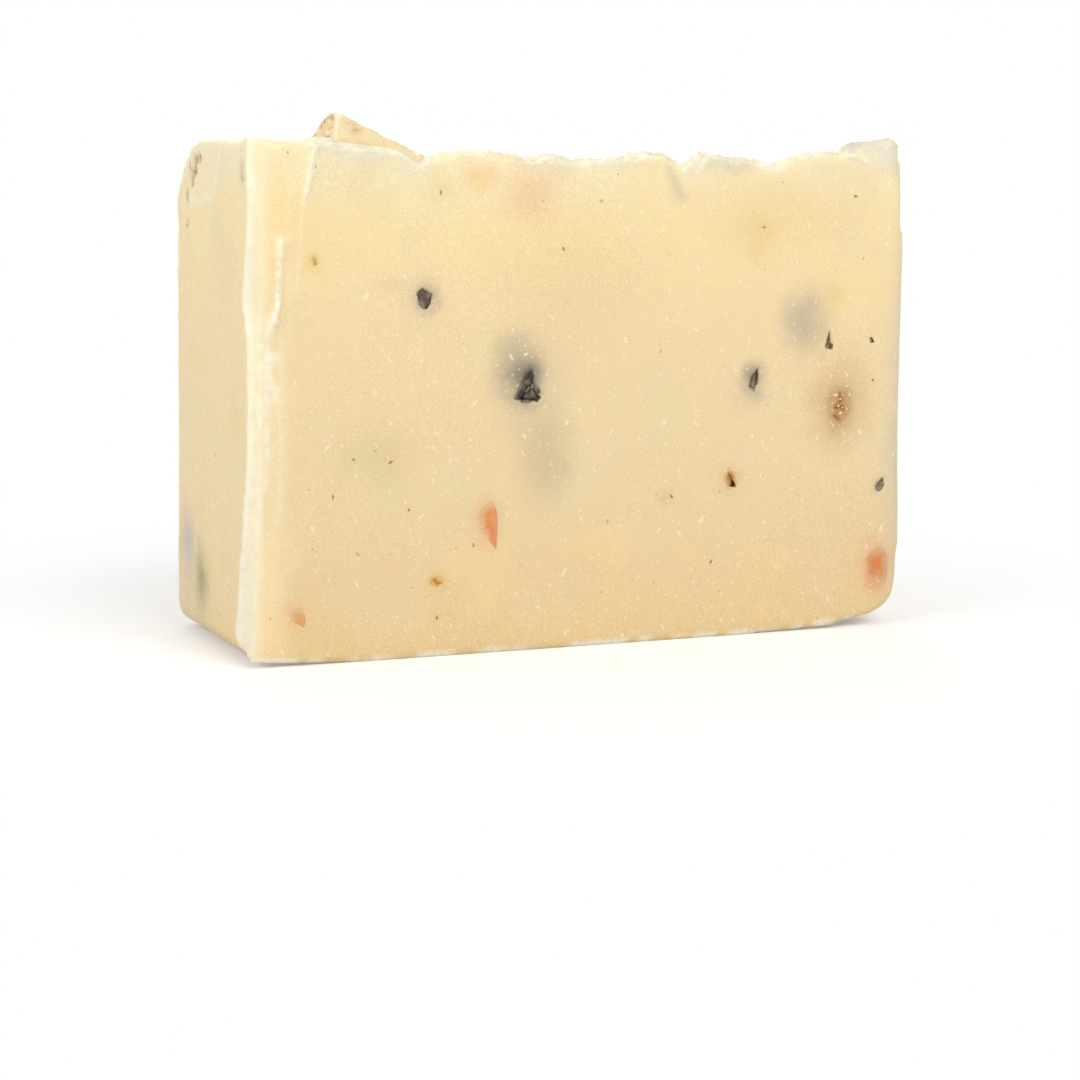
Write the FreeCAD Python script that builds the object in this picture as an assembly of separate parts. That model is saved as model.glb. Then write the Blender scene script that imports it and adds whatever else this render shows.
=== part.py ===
import FreeCAD, Part
import math
import os
from collections import namedtuple

# A cut bar of handmade soap, standing on the long narrow face that lay on the bottom of its mould.
# Millimetres. X runs along the bar, Y through its thickness, +Z up.
# The origin is the middle of the base, and the front is the cut face at -Y.
# The rough top is the poured surface of the loaf. Chips of older soap lie in the block.

Vector = FreeCAD.Vector

# The block
LENGTH = 91.0               # over the foot of the two ends
THICKNESS = 32.0            # between the two cut faces
HEIGHT = 64.0               # base to the rim of the top at the left end
END_LEAN = 0.5              # how far each end leans in above its foot
SHOULDER_DROP = 14.0        # the right end leans in further from here to the rim
SHOULDER_LEAN = 1.3
LEFT_FOOT_RADIUS = 3.0
RIGHT_FOOT_RADIUS = 5.5
LEFT_FOOT_RUN = 13.0        # the base curves up over this length to the left end
LEFT_FOOT_LIFT = 0.5
RIGHT_FOOT_RUN = 21.0       # and over this length to the right end
RIGHT_FOOT_LIFT = 0.8

# Edges of the block
BEVEL_ON_END = 2.6          # the trimmed upright edge at the front left
BEVEL_ON_FRONT = 1.8
EDGE_EASE = 0.4             # the other three upright edges
FACET_WIDTH = 9.4           # a shallow slice off the front, along that trimmed edge
FACET_HEIGHT = 23.0
FACET_DEPTH = 0.7
CORNER_WORN_DOWN = 10.0     # the worn back corner of the left end, down, in and forward
CORNER_WORN_IN = 2.6
CORNER_WORN_FORWARD = 12.0
CORNER_SUNK = 2.2           # the top sinks this far to that corner
CORNER_SUNK_IN = 6.0        # and from this far in and forward of it
CORNER_SUNK_FORWARD = 7.0

# The poured top
TOP_LEVEL = -4.0            # the folded part of the top, against the rim
SLAB_LENGTH = 22.5          # the smooth part at the left end
SLAB_RISE = 3.6
SLAB_STEP = 4.0
CREST_REACH = 4.5           # how far the crest of the front edge reaches back
BACK_RISE = 0.8             # how far the back edge stands over the folded part
BACK_REACH = 3.5
NET_STEP_ALONG = 2.8        # spacing of the lines of the top's net, where it has no pleats
NET_STEP_BACK = 2.0         # spacing of its points from front to back
NET_MARGIN = 4.5            # the net reaches this far past the block
CUT_HEADROOM = 12.0         # height of the blank over the rim, before the top is cut

# The crest of the front edge: distance from the left end, level against the rim
CREST = [
    (0.0, 0.2), (8.0, 0.3), (18.5, -0.3), (23.4, -2.3), (28.0, -1.1), (39.0, -1.8), (46.0, -2.0),
    (52.8, -1.3), (57.6, -2.2), (61.5, -1.2), (71.0, -2.4), (76.0, -1.2), (91.0, -0.9),
]

# A pleat is a sheet of soap that rises to a crest and then drops to its foot, as each spoonful
# of the pour came to rest against the next. front and back are where its crest meets the two
# faces, from the left end, and bow is how far the crest bows out between them. It is highest at
# middle, measured from the front face, and reach is how fast it fades from there.
Pleat = namedtuple("Pleat", "front back bow middle reach rise")
PLEATS = [
    Pleat(front=30.5, back=33.0, bow=-1.6, middle=19.0, reach=13.0, rise=1.7),
    Pleat(front=37.5, back=41.5, bow=1.8, middle=9.0, reach=14.0, rise=1.9),
    Pleat(front=44.5, back=46.5, bow=-1.2, middle=24.0, reach=11.0, rise=1.5),
    Pleat(front=52.5, back=53.5, bow=2.2, middle=11.0, reach=15.0, rise=1.9),
    Pleat(front=59.5, back=60.0, bow=-0.8, middle=21.0, reach=12.0, rise=1.7),
    Pleat(front=65.5, back=69.0, bow=1.9, middle=10.0, reach=12.0, rise=1.9),
    Pleat(front=75.5, back=76.5, bow=-1.7, middle=20.0, reach=13.0, rise=1.6),
    Pleat(front=83.0, back=84.5, bow=1.4, middle=13.0, reach=16.0, rise=1.9),
]
PLEAT_START = 24.5          # the pleats begin this far from the left end
PLEAT_DROP = 1.0            # from a crest to its foot
PLEAT_STRIPS = 3            # flat strips from one foot up to the next crest
END_STRIPS = 4              # and from the last foot to the right end
PLEAT_CURVE = 1.6           # how late a sheet rises
PLEAT_WAVE = 0.45           # how far a crest wanders
PLEAT_WAVE_LENGTH = 11.0

# A hollow is a soft dip. x is from the middle of the bar and y from the back face.
Hollow = namedtuple("Hollow", "x y length width depth")
HOLLOWS = [
    Hollow(x=22.5, y=14.5, length=7.5, width=5.0, depth=2.6),
    Hollow(x=-7.0, y=8.0, length=4.5, width=5.5, depth=0.9),
    Hollow(x=-35.0, y=7.0, length=7.0, width=5.0, depth=0.8),
]

# The thin flap that stands up behind the front edge at the right end
FLAP_LENGTH = 9.8
FLAP_BACK = 3.4             # the middle of the flap, behind the front face
FLAP_WIDTH = 3.0
FLAP_START = 2.0            # how fast the flap rises at its left
FLAP_RISE = 1.9

# The chunk of soap pressed into the top, with its highest edge to the front
CHUNK_START = 8.2           # its left end, from the left end of the bar
CHUNK_SETBACK = 1.9         # its front, behind the front face
CHUNK_DEPTH = 7.2           # front to back
CHUNK_FALL = 2.4            # how much lower it lies at its back
CHUNK_EASE = 0.5            # blunt long edges

# Its front profile: distance from its left end, level against the rim
CHUNK_PROFILE = [(1.4, -3.4), (0.8, 0.4), (2.6, 2.6), (3.9, 3.5), (5.0, 3.2), (16.8, -2.4), (14.8, -4.6)]

# Outlines of chips, in widths and heights about the middle
SPLINTER = [(0.0, 0.5), (0.17, 0.3), (0.24, 0.0), (0.5, -0.27), (0.36, -0.5), (-0.22, -0.5),
            (-0.5, -0.37), (-0.31, -0.04)]
PEBBLE = [(-0.5, 0.3), (-0.08, 0.5), (0.42, 0.27), (0.5, -0.2), (0.13, -0.5), (-0.37, -0.3)]
TEARDROP = [(0.45, 0.5), (0.5, -0.1), (0.1, -0.5), (-0.5, -0.26), (-0.3, 0.1)]
SPINDLE = [(0.1, 0.5), (0.42, 0.3), (0.5, -0.15), (0.4, -0.5), (0.05, -0.32), (-0.45, -0.1), (-0.5, 0.25)]
NUGGET = [(-0.25, 0.5), (0.4, 0.42), (0.5, -0.1), (0.1, -0.5), (-0.42, -0.3), (-0.5, 0.2)]

# A chip that shows on the front. width, height and depth are its own. waist and tail give its
# size at mid depth and at its end, against the outline. cover is the soap over a buried chip.
Chip = namedtuple("Chip", "x z outline width height depth waist tail cover")
CHIP_MIDDLE = 0.45          # where along its depth a chip has its waist
BURIED_NOSE = 0.5           # the near end of a buried chip, against its waist

# Dried herb flecks pressed into the front
FLECK_WIDTH = 0.5
FLECK_HEIGHT = 0.9
FLECK_DEPTH = 0.6


def left(distance):
    """X of a place measured from the left end."""
    return -LENGTH / 2 + distance


def right(distance):
    """X of a place measured from the right end."""
    return LENGTH / 2 - distance


def below_rim(distance):
    """Z of a place measured down from the rim."""
    return HEIGHT - distance


def behind_front(distance):
    """Y of a place measured back from the front face."""
    return -THICKNESS / 2 + distance


def before_back(distance):
    """Y of a place measured forward from the back face."""
    return THICKNESS / 2 - distance


# Chips of older soap that the front face cuts through
CHIPS = {
    "charcoal_bit_centre": Chip(left(36.85), 34.2, SPLINTER, 4.3, 5.2, 7.0, 1.5, 0.8, 0.0),
    "charcoal_bit_left": Chip(left(22.8), 45.0, PEBBLE, 2.4, 3.0, 2.6, 1.1, 0.6, 0.0),
    "charcoal_bit_mid_right": Chip(right(22.4), 33.8, TEARDROP, 1.5, 3.4, 2.4, 1.2, 0.6, 0.0),
    "charcoal_bit_edge": Chip(right(3.2), 19.2, TEARDROP, 1.7, 2.8, 2.2, 1.0, 0.6, 0.0),
    "grey_bit_large": Chip(right(11.4), 38.7, SPLINTER, 1.4, 2.3, 6.0, 3.2, 2.0, 0.0),
    "grey_bit_edge": Chip(right(5.0), 38.5, PEBBLE, 0.9, 1.2, 1.2, 1.0, 0.6, 0.0),
    "coral_bit_centre": Chip(left(31.6), 16.4, SPINDLE, 2.6, 6.5, 3.2, 1.1, 0.5, 0.0),
    "coral_bit_corner": Chip(right(3.1), 8.1, SPINDLE, 3.1, 5.2, 4.0, 1.0, 0.6, 0.0),
    "coral_bit_left": Chip(left(6.4), 6.1, SPINDLE, 2.0, 2.8, 2.4, 1.1, 0.6, 0.0),
    "brown_bit_right": Chip(right(9.7), 30.0, NUGGET, 3.6, 5.3, 4.2, 1.2, 0.7, 0.0),
    "ochre_bit_low": Chip(left(24.5), 9.5, NUGGET, 1.9, 1.6, 1.4, 1.2, 0.6, 0.0),
    "amber_bit_upper": Chip(right(21.4), below_rim(10.6), PEBBLE, 0.9, 0.7, 1.2, 1.6, 0.8, 0.0),
    "yellow_bit_left": Chip(left(8.6), below_rim(14.3), PEBBLE, 1.1, 1.6, 1.4, 1.3, 0.6, 0.0),
    "seed": Chip(right(25.3), 20.9, SPLINTER, 1.1, 2.1, 1.6, 1.0, 0.7, 0.0),
}

# Chips that lie wholly under the front face and only shine through it
CHIPS.update({
    "pink_bit_buried": Chip(left(36.7), below_rim(6.7), NUGGET, 4.6, 4.4, 4.5, 1.0, 0.5, 1.1),
    "orange_bit_buried": Chip(left(29.8), below_rim(4.8), PEBBLE, 3.0, 2.6, 3.0, 1.0, 0.5, 1.0),
    "grey_bit_buried": Chip(right(33.9), below_rim(5.3), PEBBLE, 2.6, 2.6, 3.2, 1.0, 0.5, 1.2),
    "olive_bit_buried": Chip(left(17.0), 25.8, NUGGET, 7.5, 6.0, 4.0, 1.0, 0.5, 1.8),
})

# Where the herb flecks lie on the front
FLECKS = [
    (left(10.9), 20.9), (left(20.8), 18.9), (left(13.5), 25.5), (left(18.4), 24.9), (left(24.6), 5.1),
    (left(24.8), below_rim(6.0)), (left(41.3), below_rim(13.0)), (left(29.5), 14.0), (right(34.0), 19.0),
    (right(28.1), 10.1), (right(8.2), below_rim(6.6)), (right(4.8), 33.2),
]


def section_wire():
    """Outline of the blank in the X-Z plane of the front face, with its rounded foot."""
    blank_top = HEIGHT + CUT_HEADROOM
    lean_per_mm = SHOULDER_LEAN / SHOULDER_DROP
    lean_at_top = SHOULDER_LEAN + CUT_HEADROOM * lean_per_mm
    flat_left = (left(LEFT_FOOT_RUN), 0.0)
    flat_right = (right(RIGHT_FOOT_RUN), 0.0)
    foot_right = (right(RIGHT_FOOT_RADIUS), RIGHT_FOOT_LIFT)
    end_right = (right(0.0), RIGHT_FOOT_LIFT + RIGHT_FOOT_RADIUS)
    shoulder = (right(END_LEAN), below_rim(SHOULDER_DROP))
    top_right = (right(END_LEAN + lean_at_top), blank_top)
    top_left = (left(END_LEAN), blank_top)
    end_left = (left(0.0), LEFT_FOOT_LIFT + LEFT_FOOT_RADIUS)
    foot_left = (left(LEFT_FOOT_RADIUS), LEFT_FOOT_LIFT)
    return Part.Wire([
        line(flat_left, flat_right),
        rise(flat_right, foot_right),
        corner(foot_right, end_right, RIGHT_FOOT_RADIUS),
        line(end_right, shoulder),
        line(shoulder, top_right),
        line(top_right, top_left),
        line(top_left, end_left),
        corner(end_left, foot_left, LEFT_FOOT_RADIUS),
        rise(foot_left, flat_left),
    ])


def on_front(point):
    """A point of the front face from its X and Z."""
    return Vector(point[0], behind_front(0.0), point[1])


def line(start, end):
    return Part.LineSegment(on_front(start), on_front(end)).toShape()


def arc(start, middle, end):
    return Part.Arc(on_front(start), on_front(middle), on_front(end)).toShape()


def rise(start, end):
    """A long low arc that is level where it meets the flat of the base."""
    low = min(start[1], end[1])
    lift = max(start[1], end[1]) - low
    return arc(start, ((start[0] + end[0]) / 2, low + lift / 4), end)


def corner(start, end, radius):
    """A quarter round of the foot."""
    centre_x = start[0] if start[1] < end[1] else end[0]
    centre_z = max(start[1], end[1])
    side = 1 if centre_x > 0 else -1
    reach = radius * math.cos(math.radians(45))
    return arc(start, (centre_x + side * reach, centre_z - reach), end)


def ease(share):
    """A smooth step from 0 to 1."""
    share = min(max(share, 0.0), 1.0)
    return share * share * (3 - 2 * share)


def bell(offset, width):
    return math.exp(-(offset / width) ** 2)


def crest_level(x):
    """Level of the front edge, against the rim."""
    distance = x - left(0.0)
    if distance <= CREST[0][0]:
        return CREST[0][1]
    for (x0, level0), (x1, level1) in zip(CREST, CREST[1:]):
        if distance <= x1:
            return level0 + (level1 - level0) * ease((distance - x0) / (x1 - x0))
    return CREST[-1][1]


def pleat_crest(pleat, y):
    """X of a pleat's crest at a distance from front to back."""
    share = min(max((y - behind_front(0.0)) / THICKNESS, 0.0), 1.0)
    straight = pleat.front + (pleat.back - pleat.front) * share
    wave = PLEAT_WAVE * math.sin(2 * math.pi * y / PLEAT_WAVE_LENGTH + pleat.front)
    return left(straight + pleat.bow * 4 * share * (1 - share) + wave)


def pleat_strips(pleat, y, start):
    """X and lift of the lines up a pleat's sheet, from where it starts to its foot."""
    crest = pleat_crest(pleat, y)
    rise = pleat.rise * bell(y - behind_front(pleat.middle), pleat.reach)
    shares = [strip / PLEAT_STRIPS for strip in range(1, PLEAT_STRIPS + 1)]
    up = [(start + (crest - start) * share, rise * share ** PLEAT_CURVE) for share in shares]
    return up + [(crest + PLEAT_DROP, 0.0)]


def hollow_depth(hollow, x, y):
    """Depth that a hollow takes away at a place."""
    away_x = (x - hollow.x) / hollow.length
    away_y = (y - before_back(hollow.y)) / hollow.width
    return hollow.depth * math.exp(-away_x ** 2 - away_y ** 2)


def corner_sunk(x, y):
    """How far the top sinks towards the worn corner."""
    return CORNER_SUNK * bell(x - left(0.0), CORNER_SUNK_IN) * bell(y - before_back(0.0), CORNER_SUNK_FORWARD)


def flap_height(x, y):
    """Height of the flap at the right end."""
    along = ease((x - right(FLAP_LENGTH)) / FLAP_START)
    return FLAP_RISE * along * bell(y - behind_front(FLAP_BACK), FLAP_WIDTH)


def top_height(x, y, lift):
    """Z of the poured top at a place where a pleat lifts it."""
    slab = 1 - ease((x - left(SLAB_LENGTH - SLAB_STEP)) / (2 * SLAB_STEP))
    inside = TOP_LEVEL + SLAB_RISE * slab + lift
    inside += BACK_RISE * bell(y - before_back(0.0), BACK_REACH) * (1 - slab)
    inside -= sum(hollow_depth(hollow, x, y) for hollow in HOLLOWS)
    inside -= corner_sunk(x, y)
    edge = bell(max(y - behind_front(0.0), 0.0), CREST_REACH)
    return HEIGHT + inside + (crest_level(x) - inside) * edge + flap_height(x, y)


def spread(low, high, step):
    """Even places from low to high, about a step apart."""
    count = math.ceil((high - low) / step)
    return [low + (high - low) * index / count for index in range(count + 1)]


def net_row(y):
    """Points of the top at a distance from front to back, from the left end to the right."""
    row = [(x, 0.0) for x in spread(left(-NET_MARGIN), left(PLEAT_START), NET_STEP_ALONG)]
    for pleat in PLEATS:
        row += pleat_strips(pleat, y, row[-1][0])
    last_foot = row[-1][0]
    for strip in range(1, END_STRIPS + 1):
        row.append((last_foot + (right(-NET_MARGIN) - last_foot) * strip / END_STRIPS, 0.0))
    return [Vector(x, y, top_height(x, y, lift)) for x, lift in row]


def polygon_face(points):
    return Part.Face(Part.makePolygon(points + points[:1]))


def closed_solid(faces):
    return Part.Solid(Part.Shell(faces))


def net_faces(rows):
    """Two triangles for each cell of a net."""
    faces = []
    for front, back in zip(rows, rows[1:]):
        for index in range(len(front) - 1):
            a, b, c, d = front[index], front[index + 1], back[index + 1], back[index]
            faces += [polygon_face([a, b, c]), polygon_face([a, c, d])]
    return faces


def space_over_top():
    """Everything above the poured top."""
    rows = [net_row(y) for y in spread(behind_front(-NET_MARGIN), before_back(-NET_MARGIN), NET_STEP_BACK)]
    lid = HEIGHT + 2 * CUT_HEADROOM
    sides = [rows[0], rows[-1], [row[0] for row in rows], [row[-1] for row in rows]]
    faces = net_faces(rows)
    for side in sides:
        raised = [Vector(point.x, point.y, lid) for point in (side[-1], side[0])]
        faces.append(polygon_face(side + raised))
    corners = [rows[0][0], rows[0][-1], rows[-1][-1], rows[-1][0]]
    faces.append(polygon_face([Vector(point.x, point.y, lid) for point in corners]))
    return closed_solid(faces)


def prism(points, push):
    """The solid swept by a flat outline."""
    return polygon_face(points).extrude(push)


def edge_trim(x, y, run_x, run_y):
    """The sliver that a trimmed upright edge loses."""
    points = [Vector(x, y, 0), Vector(x + run_x, y, 0), Vector(x, y + run_y, 0)]
    return prism(points, Vector(0, 0, HEIGHT + CUT_HEADROOM))


def edge_trims():
    """What the four upright edges lose. Each trim starts outside the block."""
    front, back = behind_front(0.0), before_back(0.0)
    west, east = left(0.0), right(0.0)
    soft = EDGE_EASE + END_LEAN
    return [
        edge_trim(west, front, BEVEL_ON_FRONT + END_LEAN, BEVEL_ON_END),
        edge_trim(west, back, soft, -soft),
        edge_trim(east, front, -soft, soft),
        edge_trim(east, back, -soft, -soft),
    ]


def tetrahedron(a, b, c, d):
    return closed_solid([polygon_face(corners) for corners in ([a, b, c], [a, b, d], [b, c, d], [a, c, d])])


def facet_trim():
    """The shallow slice off the upper left of the front face."""
    top = HEIGHT + CUT_HEADROOM
    share = 1 + CUT_HEADROOM / FACET_HEIGHT
    west = left(END_LEAN)
    foot = Vector(west, behind_front(0.0), below_rim(FACET_HEIGHT))
    near = Vector(west, behind_front(0.0), top)
    far = Vector(west + FACET_WIDTH * share, behind_front(0.0), top)
    deep = Vector(west, behind_front(FACET_DEPTH * share), top)
    return tetrahedron(foot, near, far, deep)


def corner_trim():
    """What the worn back corner of the left end has lost."""
    top = HEIGHT + CUT_HEADROOM
    share = 1 + CUT_HEADROOM / CORNER_WORN_DOWN
    west, back = left(0.0), before_back(0.0)
    tip = Vector(west, back, top)
    low = Vector(west, back, below_rim(CORNER_WORN_DOWN))
    inward = Vector(west + CORNER_WORN_IN * share, back, top)
    forward = Vector(west, before_back(CORNER_WORN_FORWARD * share), top)
    return tetrahedron(tip, low, inward, forward)


def top_chunk():
    """The broken end of an older bar, pressed in at a slant so that its shoulder stands out."""
    front = behind_front(CHUNK_SETBACK)
    points = [Vector(left(CHUNK_START + along), front, HEIGHT + level) for along, level in CHUNK_PROFILE]
    chunk = prism(points, Vector(0, CHUNK_DEPTH, -CHUNK_FALL))
    long_edges = [edge for edge in chunk.Edges if abs(edge.tangentAt(0).y) > abs(edge.tangentAt(0).x)]
    return chunk.makeChamfer(CHUNK_EASE, long_edges)


def chip_ring(chip, scale, depth):
    """The outline of a chip at a depth behind the front face."""
    y = behind_front(depth)
    return [
        Vector(chip.x + across * chip.width * scale, y, chip.z + up * chip.height * scale)
        for across, up in chip.outline
    ]


def chip_solid(chip):
    """A chip of older soap: its nose, its waist and its tail, joined by flat sides."""
    nose = BURIED_NOSE if chip.cover else 1.0
    rings = [
        chip_ring(chip, nose, chip.cover),
        chip_ring(chip, chip.waist, chip.cover + chip.depth * CHIP_MIDDLE),
        chip_ring(chip, chip.tail, chip.cover + chip.depth),
    ]
    faces = [polygon_face(rings[0]), polygon_face(rings[-1])]
    for near, far in zip(rings, rings[1:]):
        for index, start in enumerate(near):
            faces.append(polygon_face([start, near[index - 1], far[index - 1], far[index]]))
    return closed_solid(faces)


def herb_flecks():
    """The dried herb flecks, as one group of small flat solids."""
    half = FLECK_WIDTH / 2
    solids = []
    for x, z in FLECKS:
        points = [
            on_front((x, z + FLECK_HEIGHT / 2)), on_front((x + half, z)),
            on_front((x, z - FLECK_HEIGHT / 2)), on_front((x - half, z)),
        ]
        solids.append(prism(points, Vector(0, FLECK_DEPTH, 0)))
    return Part.makeCompound(solids)


def soap_block(inlays):
    """The block: the blank less its trims, the space over its top and what lies in it."""
    blank = Part.Face(section_wire()).extrude(Vector(0, THICKNESS, 0))
    trims = edge_trims() + [facet_trim(), corner_trim()]
    block = blank.cut(Part.makeCompound(trims)).cut(space_over_top())
    for inlay in inlays:
        block = block.cut(inlay)
    return block.Solids[0]


def build():
    """Every piece by its node's name."""
    nodes = {"top_chunk": top_chunk(), "herb_flecks": herb_flecks()}
    for name, chip in CHIPS.items():
        nodes[name] = chip_solid(chip)
    nodes["soap_block"] = soap_block(list(nodes.values()))
    return nodes


os.makedirs("parts", exist_ok=True)
for name, shape in build().items():
    shape.exportStep("parts/" + name + ".step")
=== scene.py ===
"""Looks for a cut bar of handmade soap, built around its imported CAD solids."""
import math
from collections import namedtuple
from contextlib import contextmanager

import bmesh
import bpy
import numpy as np
from mathutils import Matrix, Vector

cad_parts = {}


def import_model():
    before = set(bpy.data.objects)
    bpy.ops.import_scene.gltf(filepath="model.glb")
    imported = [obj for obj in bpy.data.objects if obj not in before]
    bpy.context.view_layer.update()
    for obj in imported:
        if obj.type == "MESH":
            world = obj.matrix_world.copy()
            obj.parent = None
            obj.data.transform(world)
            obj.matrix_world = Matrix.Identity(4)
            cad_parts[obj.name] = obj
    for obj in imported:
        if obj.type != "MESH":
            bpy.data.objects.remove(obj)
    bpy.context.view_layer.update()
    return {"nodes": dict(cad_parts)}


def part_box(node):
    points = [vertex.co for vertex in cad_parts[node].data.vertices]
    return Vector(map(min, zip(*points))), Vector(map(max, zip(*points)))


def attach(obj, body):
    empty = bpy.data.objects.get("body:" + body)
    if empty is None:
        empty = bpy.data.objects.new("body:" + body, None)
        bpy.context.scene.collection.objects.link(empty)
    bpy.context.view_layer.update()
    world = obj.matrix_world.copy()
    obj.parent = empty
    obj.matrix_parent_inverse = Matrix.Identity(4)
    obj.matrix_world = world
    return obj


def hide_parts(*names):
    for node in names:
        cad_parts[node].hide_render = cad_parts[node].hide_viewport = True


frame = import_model()

# Sizes are in millimetres, and meshes go back to metres when they are finished.
MM = 0.001
block_low, block_high = (np.array(corner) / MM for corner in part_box("soap_block"))
LEFT, FRONT, _ = block_low
RIGHT, BACK, _ = block_high
RIM = 64.0                  # the upper edge of the smooth part at the left end

# Meshes
BODY_VOXEL = 0.71           # grain of the body's mesh, halved where it is finer
CHIP_VOXEL = 0.14
CHUNK_VOXEL = 0.24
TOP_SMOOTHING = 4           # passes that soften the facets of the solid's top
FOOT_SMOOTHING = 24         # and of its rounded foot at the right end
FINE_ABOVE = 57.0           # the body's mesh is finer above this height,
FINE_LEFT_OF = -36.0        # left of this at the front,
CHIP_REACH = (0.8, 0.45)    # this close to a chip, and finer still within the second reach,
RIDGE_REACH = 0.9           # and this close to a thin ridge

# Where a list of noise layers is given, each is its height, its grain size and its seed.

# The trimmed upright edge: height against its width on the front, and on the left end
TRIM_ON_FRONT = [(0.0, 0.5), (8.0, 0.7), (16.0, 1.2), (24.0, 1.6), (40.0, 1.8), (66.0, 1.7)]
TRIM_AT_TOP = 1.7
TRIM_ON_END = [
    (0.0, 5.2), (4.0, 5.6), (9.0, 4.6), (14.9, 3.2), (21.6, 1.9), (28.0, 0.9), (33.6, 0.8), (38.5, 1.0),
    (41.0, 1.6), (43.5, 2.6), (46.5, 2.9), (49.5, 2.4), (52.5, 1.4), (56.0, 0.9), (61.3, 1.2), (66.0, 0.6),
]
TRIM_ZONE = (5, 12)         # how far in from the left end and from the front it may reach
TRIM_FACING = (50, 24)      # where the solid's trim faces, in degrees from the front, and the spread
TRIM_WANDER = [(0.25, 2.5, 21)], [(0.12, 4.0, 22)]
TRIM_RAGGED = [(0.12, 0.9, 23)]
END_SLANT = 0.5             # how far the left end leans in from the base to the rim
FACET_TOP_WIDTH = 9.4       # the shallow slice off the front, right of that edge
FACET_HEIGHT = 23.0
FACET_DEPTH = 0.7

# The crest of the front edge, as X and Z
CREST_LINE = [
    (-45.5, 64.3), (-43.5, 64.3), (-38.2, 64.3), (-37.4, 64.7), (-34.6, 64.7), (-34.0, 64.2),
    (-30.0, 63.86), (-26.5, 63.5), (-23.7, 61.85), (-23.1, 61.6), (-21.3, 62.7), (-18.0, 63.3),
    (-14.0, 63.2), (-10.5, 62.6), (-9.0, 62.3), (-6.0, 62.7), (-2.6, 62.2), (0.7, 62.3), (4.0, 62.6),
    (7.3, 63.4), (9.6, 63.2), (10.9, 62.3), (12.4, 61.6), (14.0, 62.5), (15.7, 63.2), (17.6, 62.9),
    (19.2, 62.4), (22.6, 62.4), (26.1, 61.6), (27.8, 62.3), (29.6, 63.1), (33.0, 63.1), (35.2, 63.1),
    (36.0, 63.7), (37.7, 64.0), (39.4, 64.4), (41.0, 64.6), (43.0, 64.7), (44.6, 64.6), (45.5, 64.2),
]
CREST_REACH = 4.5           # how far the crest reaches back over the top
CREST_WIDTH = 2.6           # how far back its own height is followed
CREST_CRUMBLED = [(0.26, 1.3, 41), (0.12, 0.6, 44)]
LIP_RADIUS = 0.7            # rounding of the front's top edge, with its spread
LIP_SPREAD = [(0.55, 5.0, 51), (0.35, 1.8, 52)]
CORNER_WEAR = 0.2           # how far the top's back corner at the left end is worn in
END_LIFT = 0.5              # how much higher the top is at the left end
RIGHT_BULGE = 0.5           # how far the right end swells out, BULGE_MIDDLE above the base
BULGE_MIDDLE = 11.0
BULGE_WIDTH = 12.0
FRONT_WAVES = [(0.10, 17.0, 11), (0.035, 5.0, 12)]
FACE_WAVES = [(0.07, 21.0, 81), (0.02, 3.5, 82)]
SLAB_END = -23.0            # the top is smooth left of this, and folded right of it

# Fine pleats on the sheets of the poured top
PLEAT_STEP = 4.2            # from one to the next
PLEAT_DEPTH = 0.12
PLEAT_RISE = 0.86           # share of the step over which a pleat rises, before it falls
PLEAT_SLANT = 0.45          # how far it runs along X for each millimetre along Y
PLEAT_WARP = [(2.6, 11.0, 31), (0.9, 4.0, 32)]

# Raised lines that the knife left on the front, as X and Z, with their height, width and paleness, which is
# partly painted highlight along them
Ridge = namedtuple("Ridge", "path rise width pale")
FRONT_RIDGES = [
    Ridge([(-36.7, 64.3), (-37.1, 62.5), (-37.6, 60.0), (-38.1, 57.7)], 0.42, 0.36, 1.0),
    Ridge([(-38.1, 57.7), (-38.5, 54.0), (-38.8, 50.0), (-39.1, 46.0)], 0.10, 0.28, 0.35),
    Ridge([(-41.25, 52.0), (-41.4, 50.0), (-41.5, 47.5), (-41.6, 44.5), (-42.1, 42.4)], 0.32, 0.34, 1.0),
    Ridge([(-41.2, 52.2), (-41.3, 50.6)], 0.36, 0.55, 0.9),
    Ridge([(-42.1, 43.4), (-42.5, 41.4)], 0.30, 0.60, 0.9),
    Ridge([(-42.4, 41.6), (-42.9, 39.8), (-43.1, 36.8), (-42.9, 30.0), (-43.2, 22.0)], 0.10, 0.55, 0.7),
    Ridge([(-41.0, 40.0), (-41.4, 33.0), (-41.2, 26.0), (-41.6, 18.0)], 0.06, 0.40, 0.40),
    Ridge([(-39.9, 60.0), (-40.1, 52.0), (-40.0, 40.0)], 0.04, 0.35, 0.22),
    Ridge([(-37.5, 63.5), (-36.2, 63.7), (-34.9, 63.4)], 0.40, 0.60, 0.80),
    Ridge([(-27.5, 63.3), (-25.5, 62.5), (-23.9, 61.5), (-23.0, 61.3), (-22.3, 61.9)], 0.26, 0.32, 0.9),
    Ridge([(14.6, 60.7), (15.1, 61.5), (16.0, 62.3), (17.0, 62.7)], 0.28, 0.38, 0.9),
    Ridge([(5.6, 61.9), (7.2, 62.3), (9.3, 62.1)], 0.20, 0.34, 0.8),
    Ridge([(-6.0, 61.7), (-3.6, 61.5), (-1.6, 61.4)], 0.16, 0.30, 0.7),
    Ridge([(35.4, 63.0), (36.9, 62.5), (39.4, 61.8)], 0.34, 0.34, 0.9),
]

FINE_RIDGES = FRONT_RIDGES[:5]      # the thin ones, which need a finer mesh

# The same on the left end, as Y and Z
END_RIDGES = [
    Ridge([(-4.4, 63.6), (-3.1, 60.3), (-1.3, 56.6)], 0.28, 0.40, 0.9),
    Ridge([(-1.3, 56.6), (2.0, 56.9), (4.6, 56.0), (7.2, 55.9), (9.5, 57.0)], 0.22, 0.50, 0.7),
    Ridge([(14.2, 50.0), (14.5, 40.0), (14.3, 28.0), (14.6, 12.0), (14.3, 3.0)], 0.10, 0.35, 0.5),
]

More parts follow.
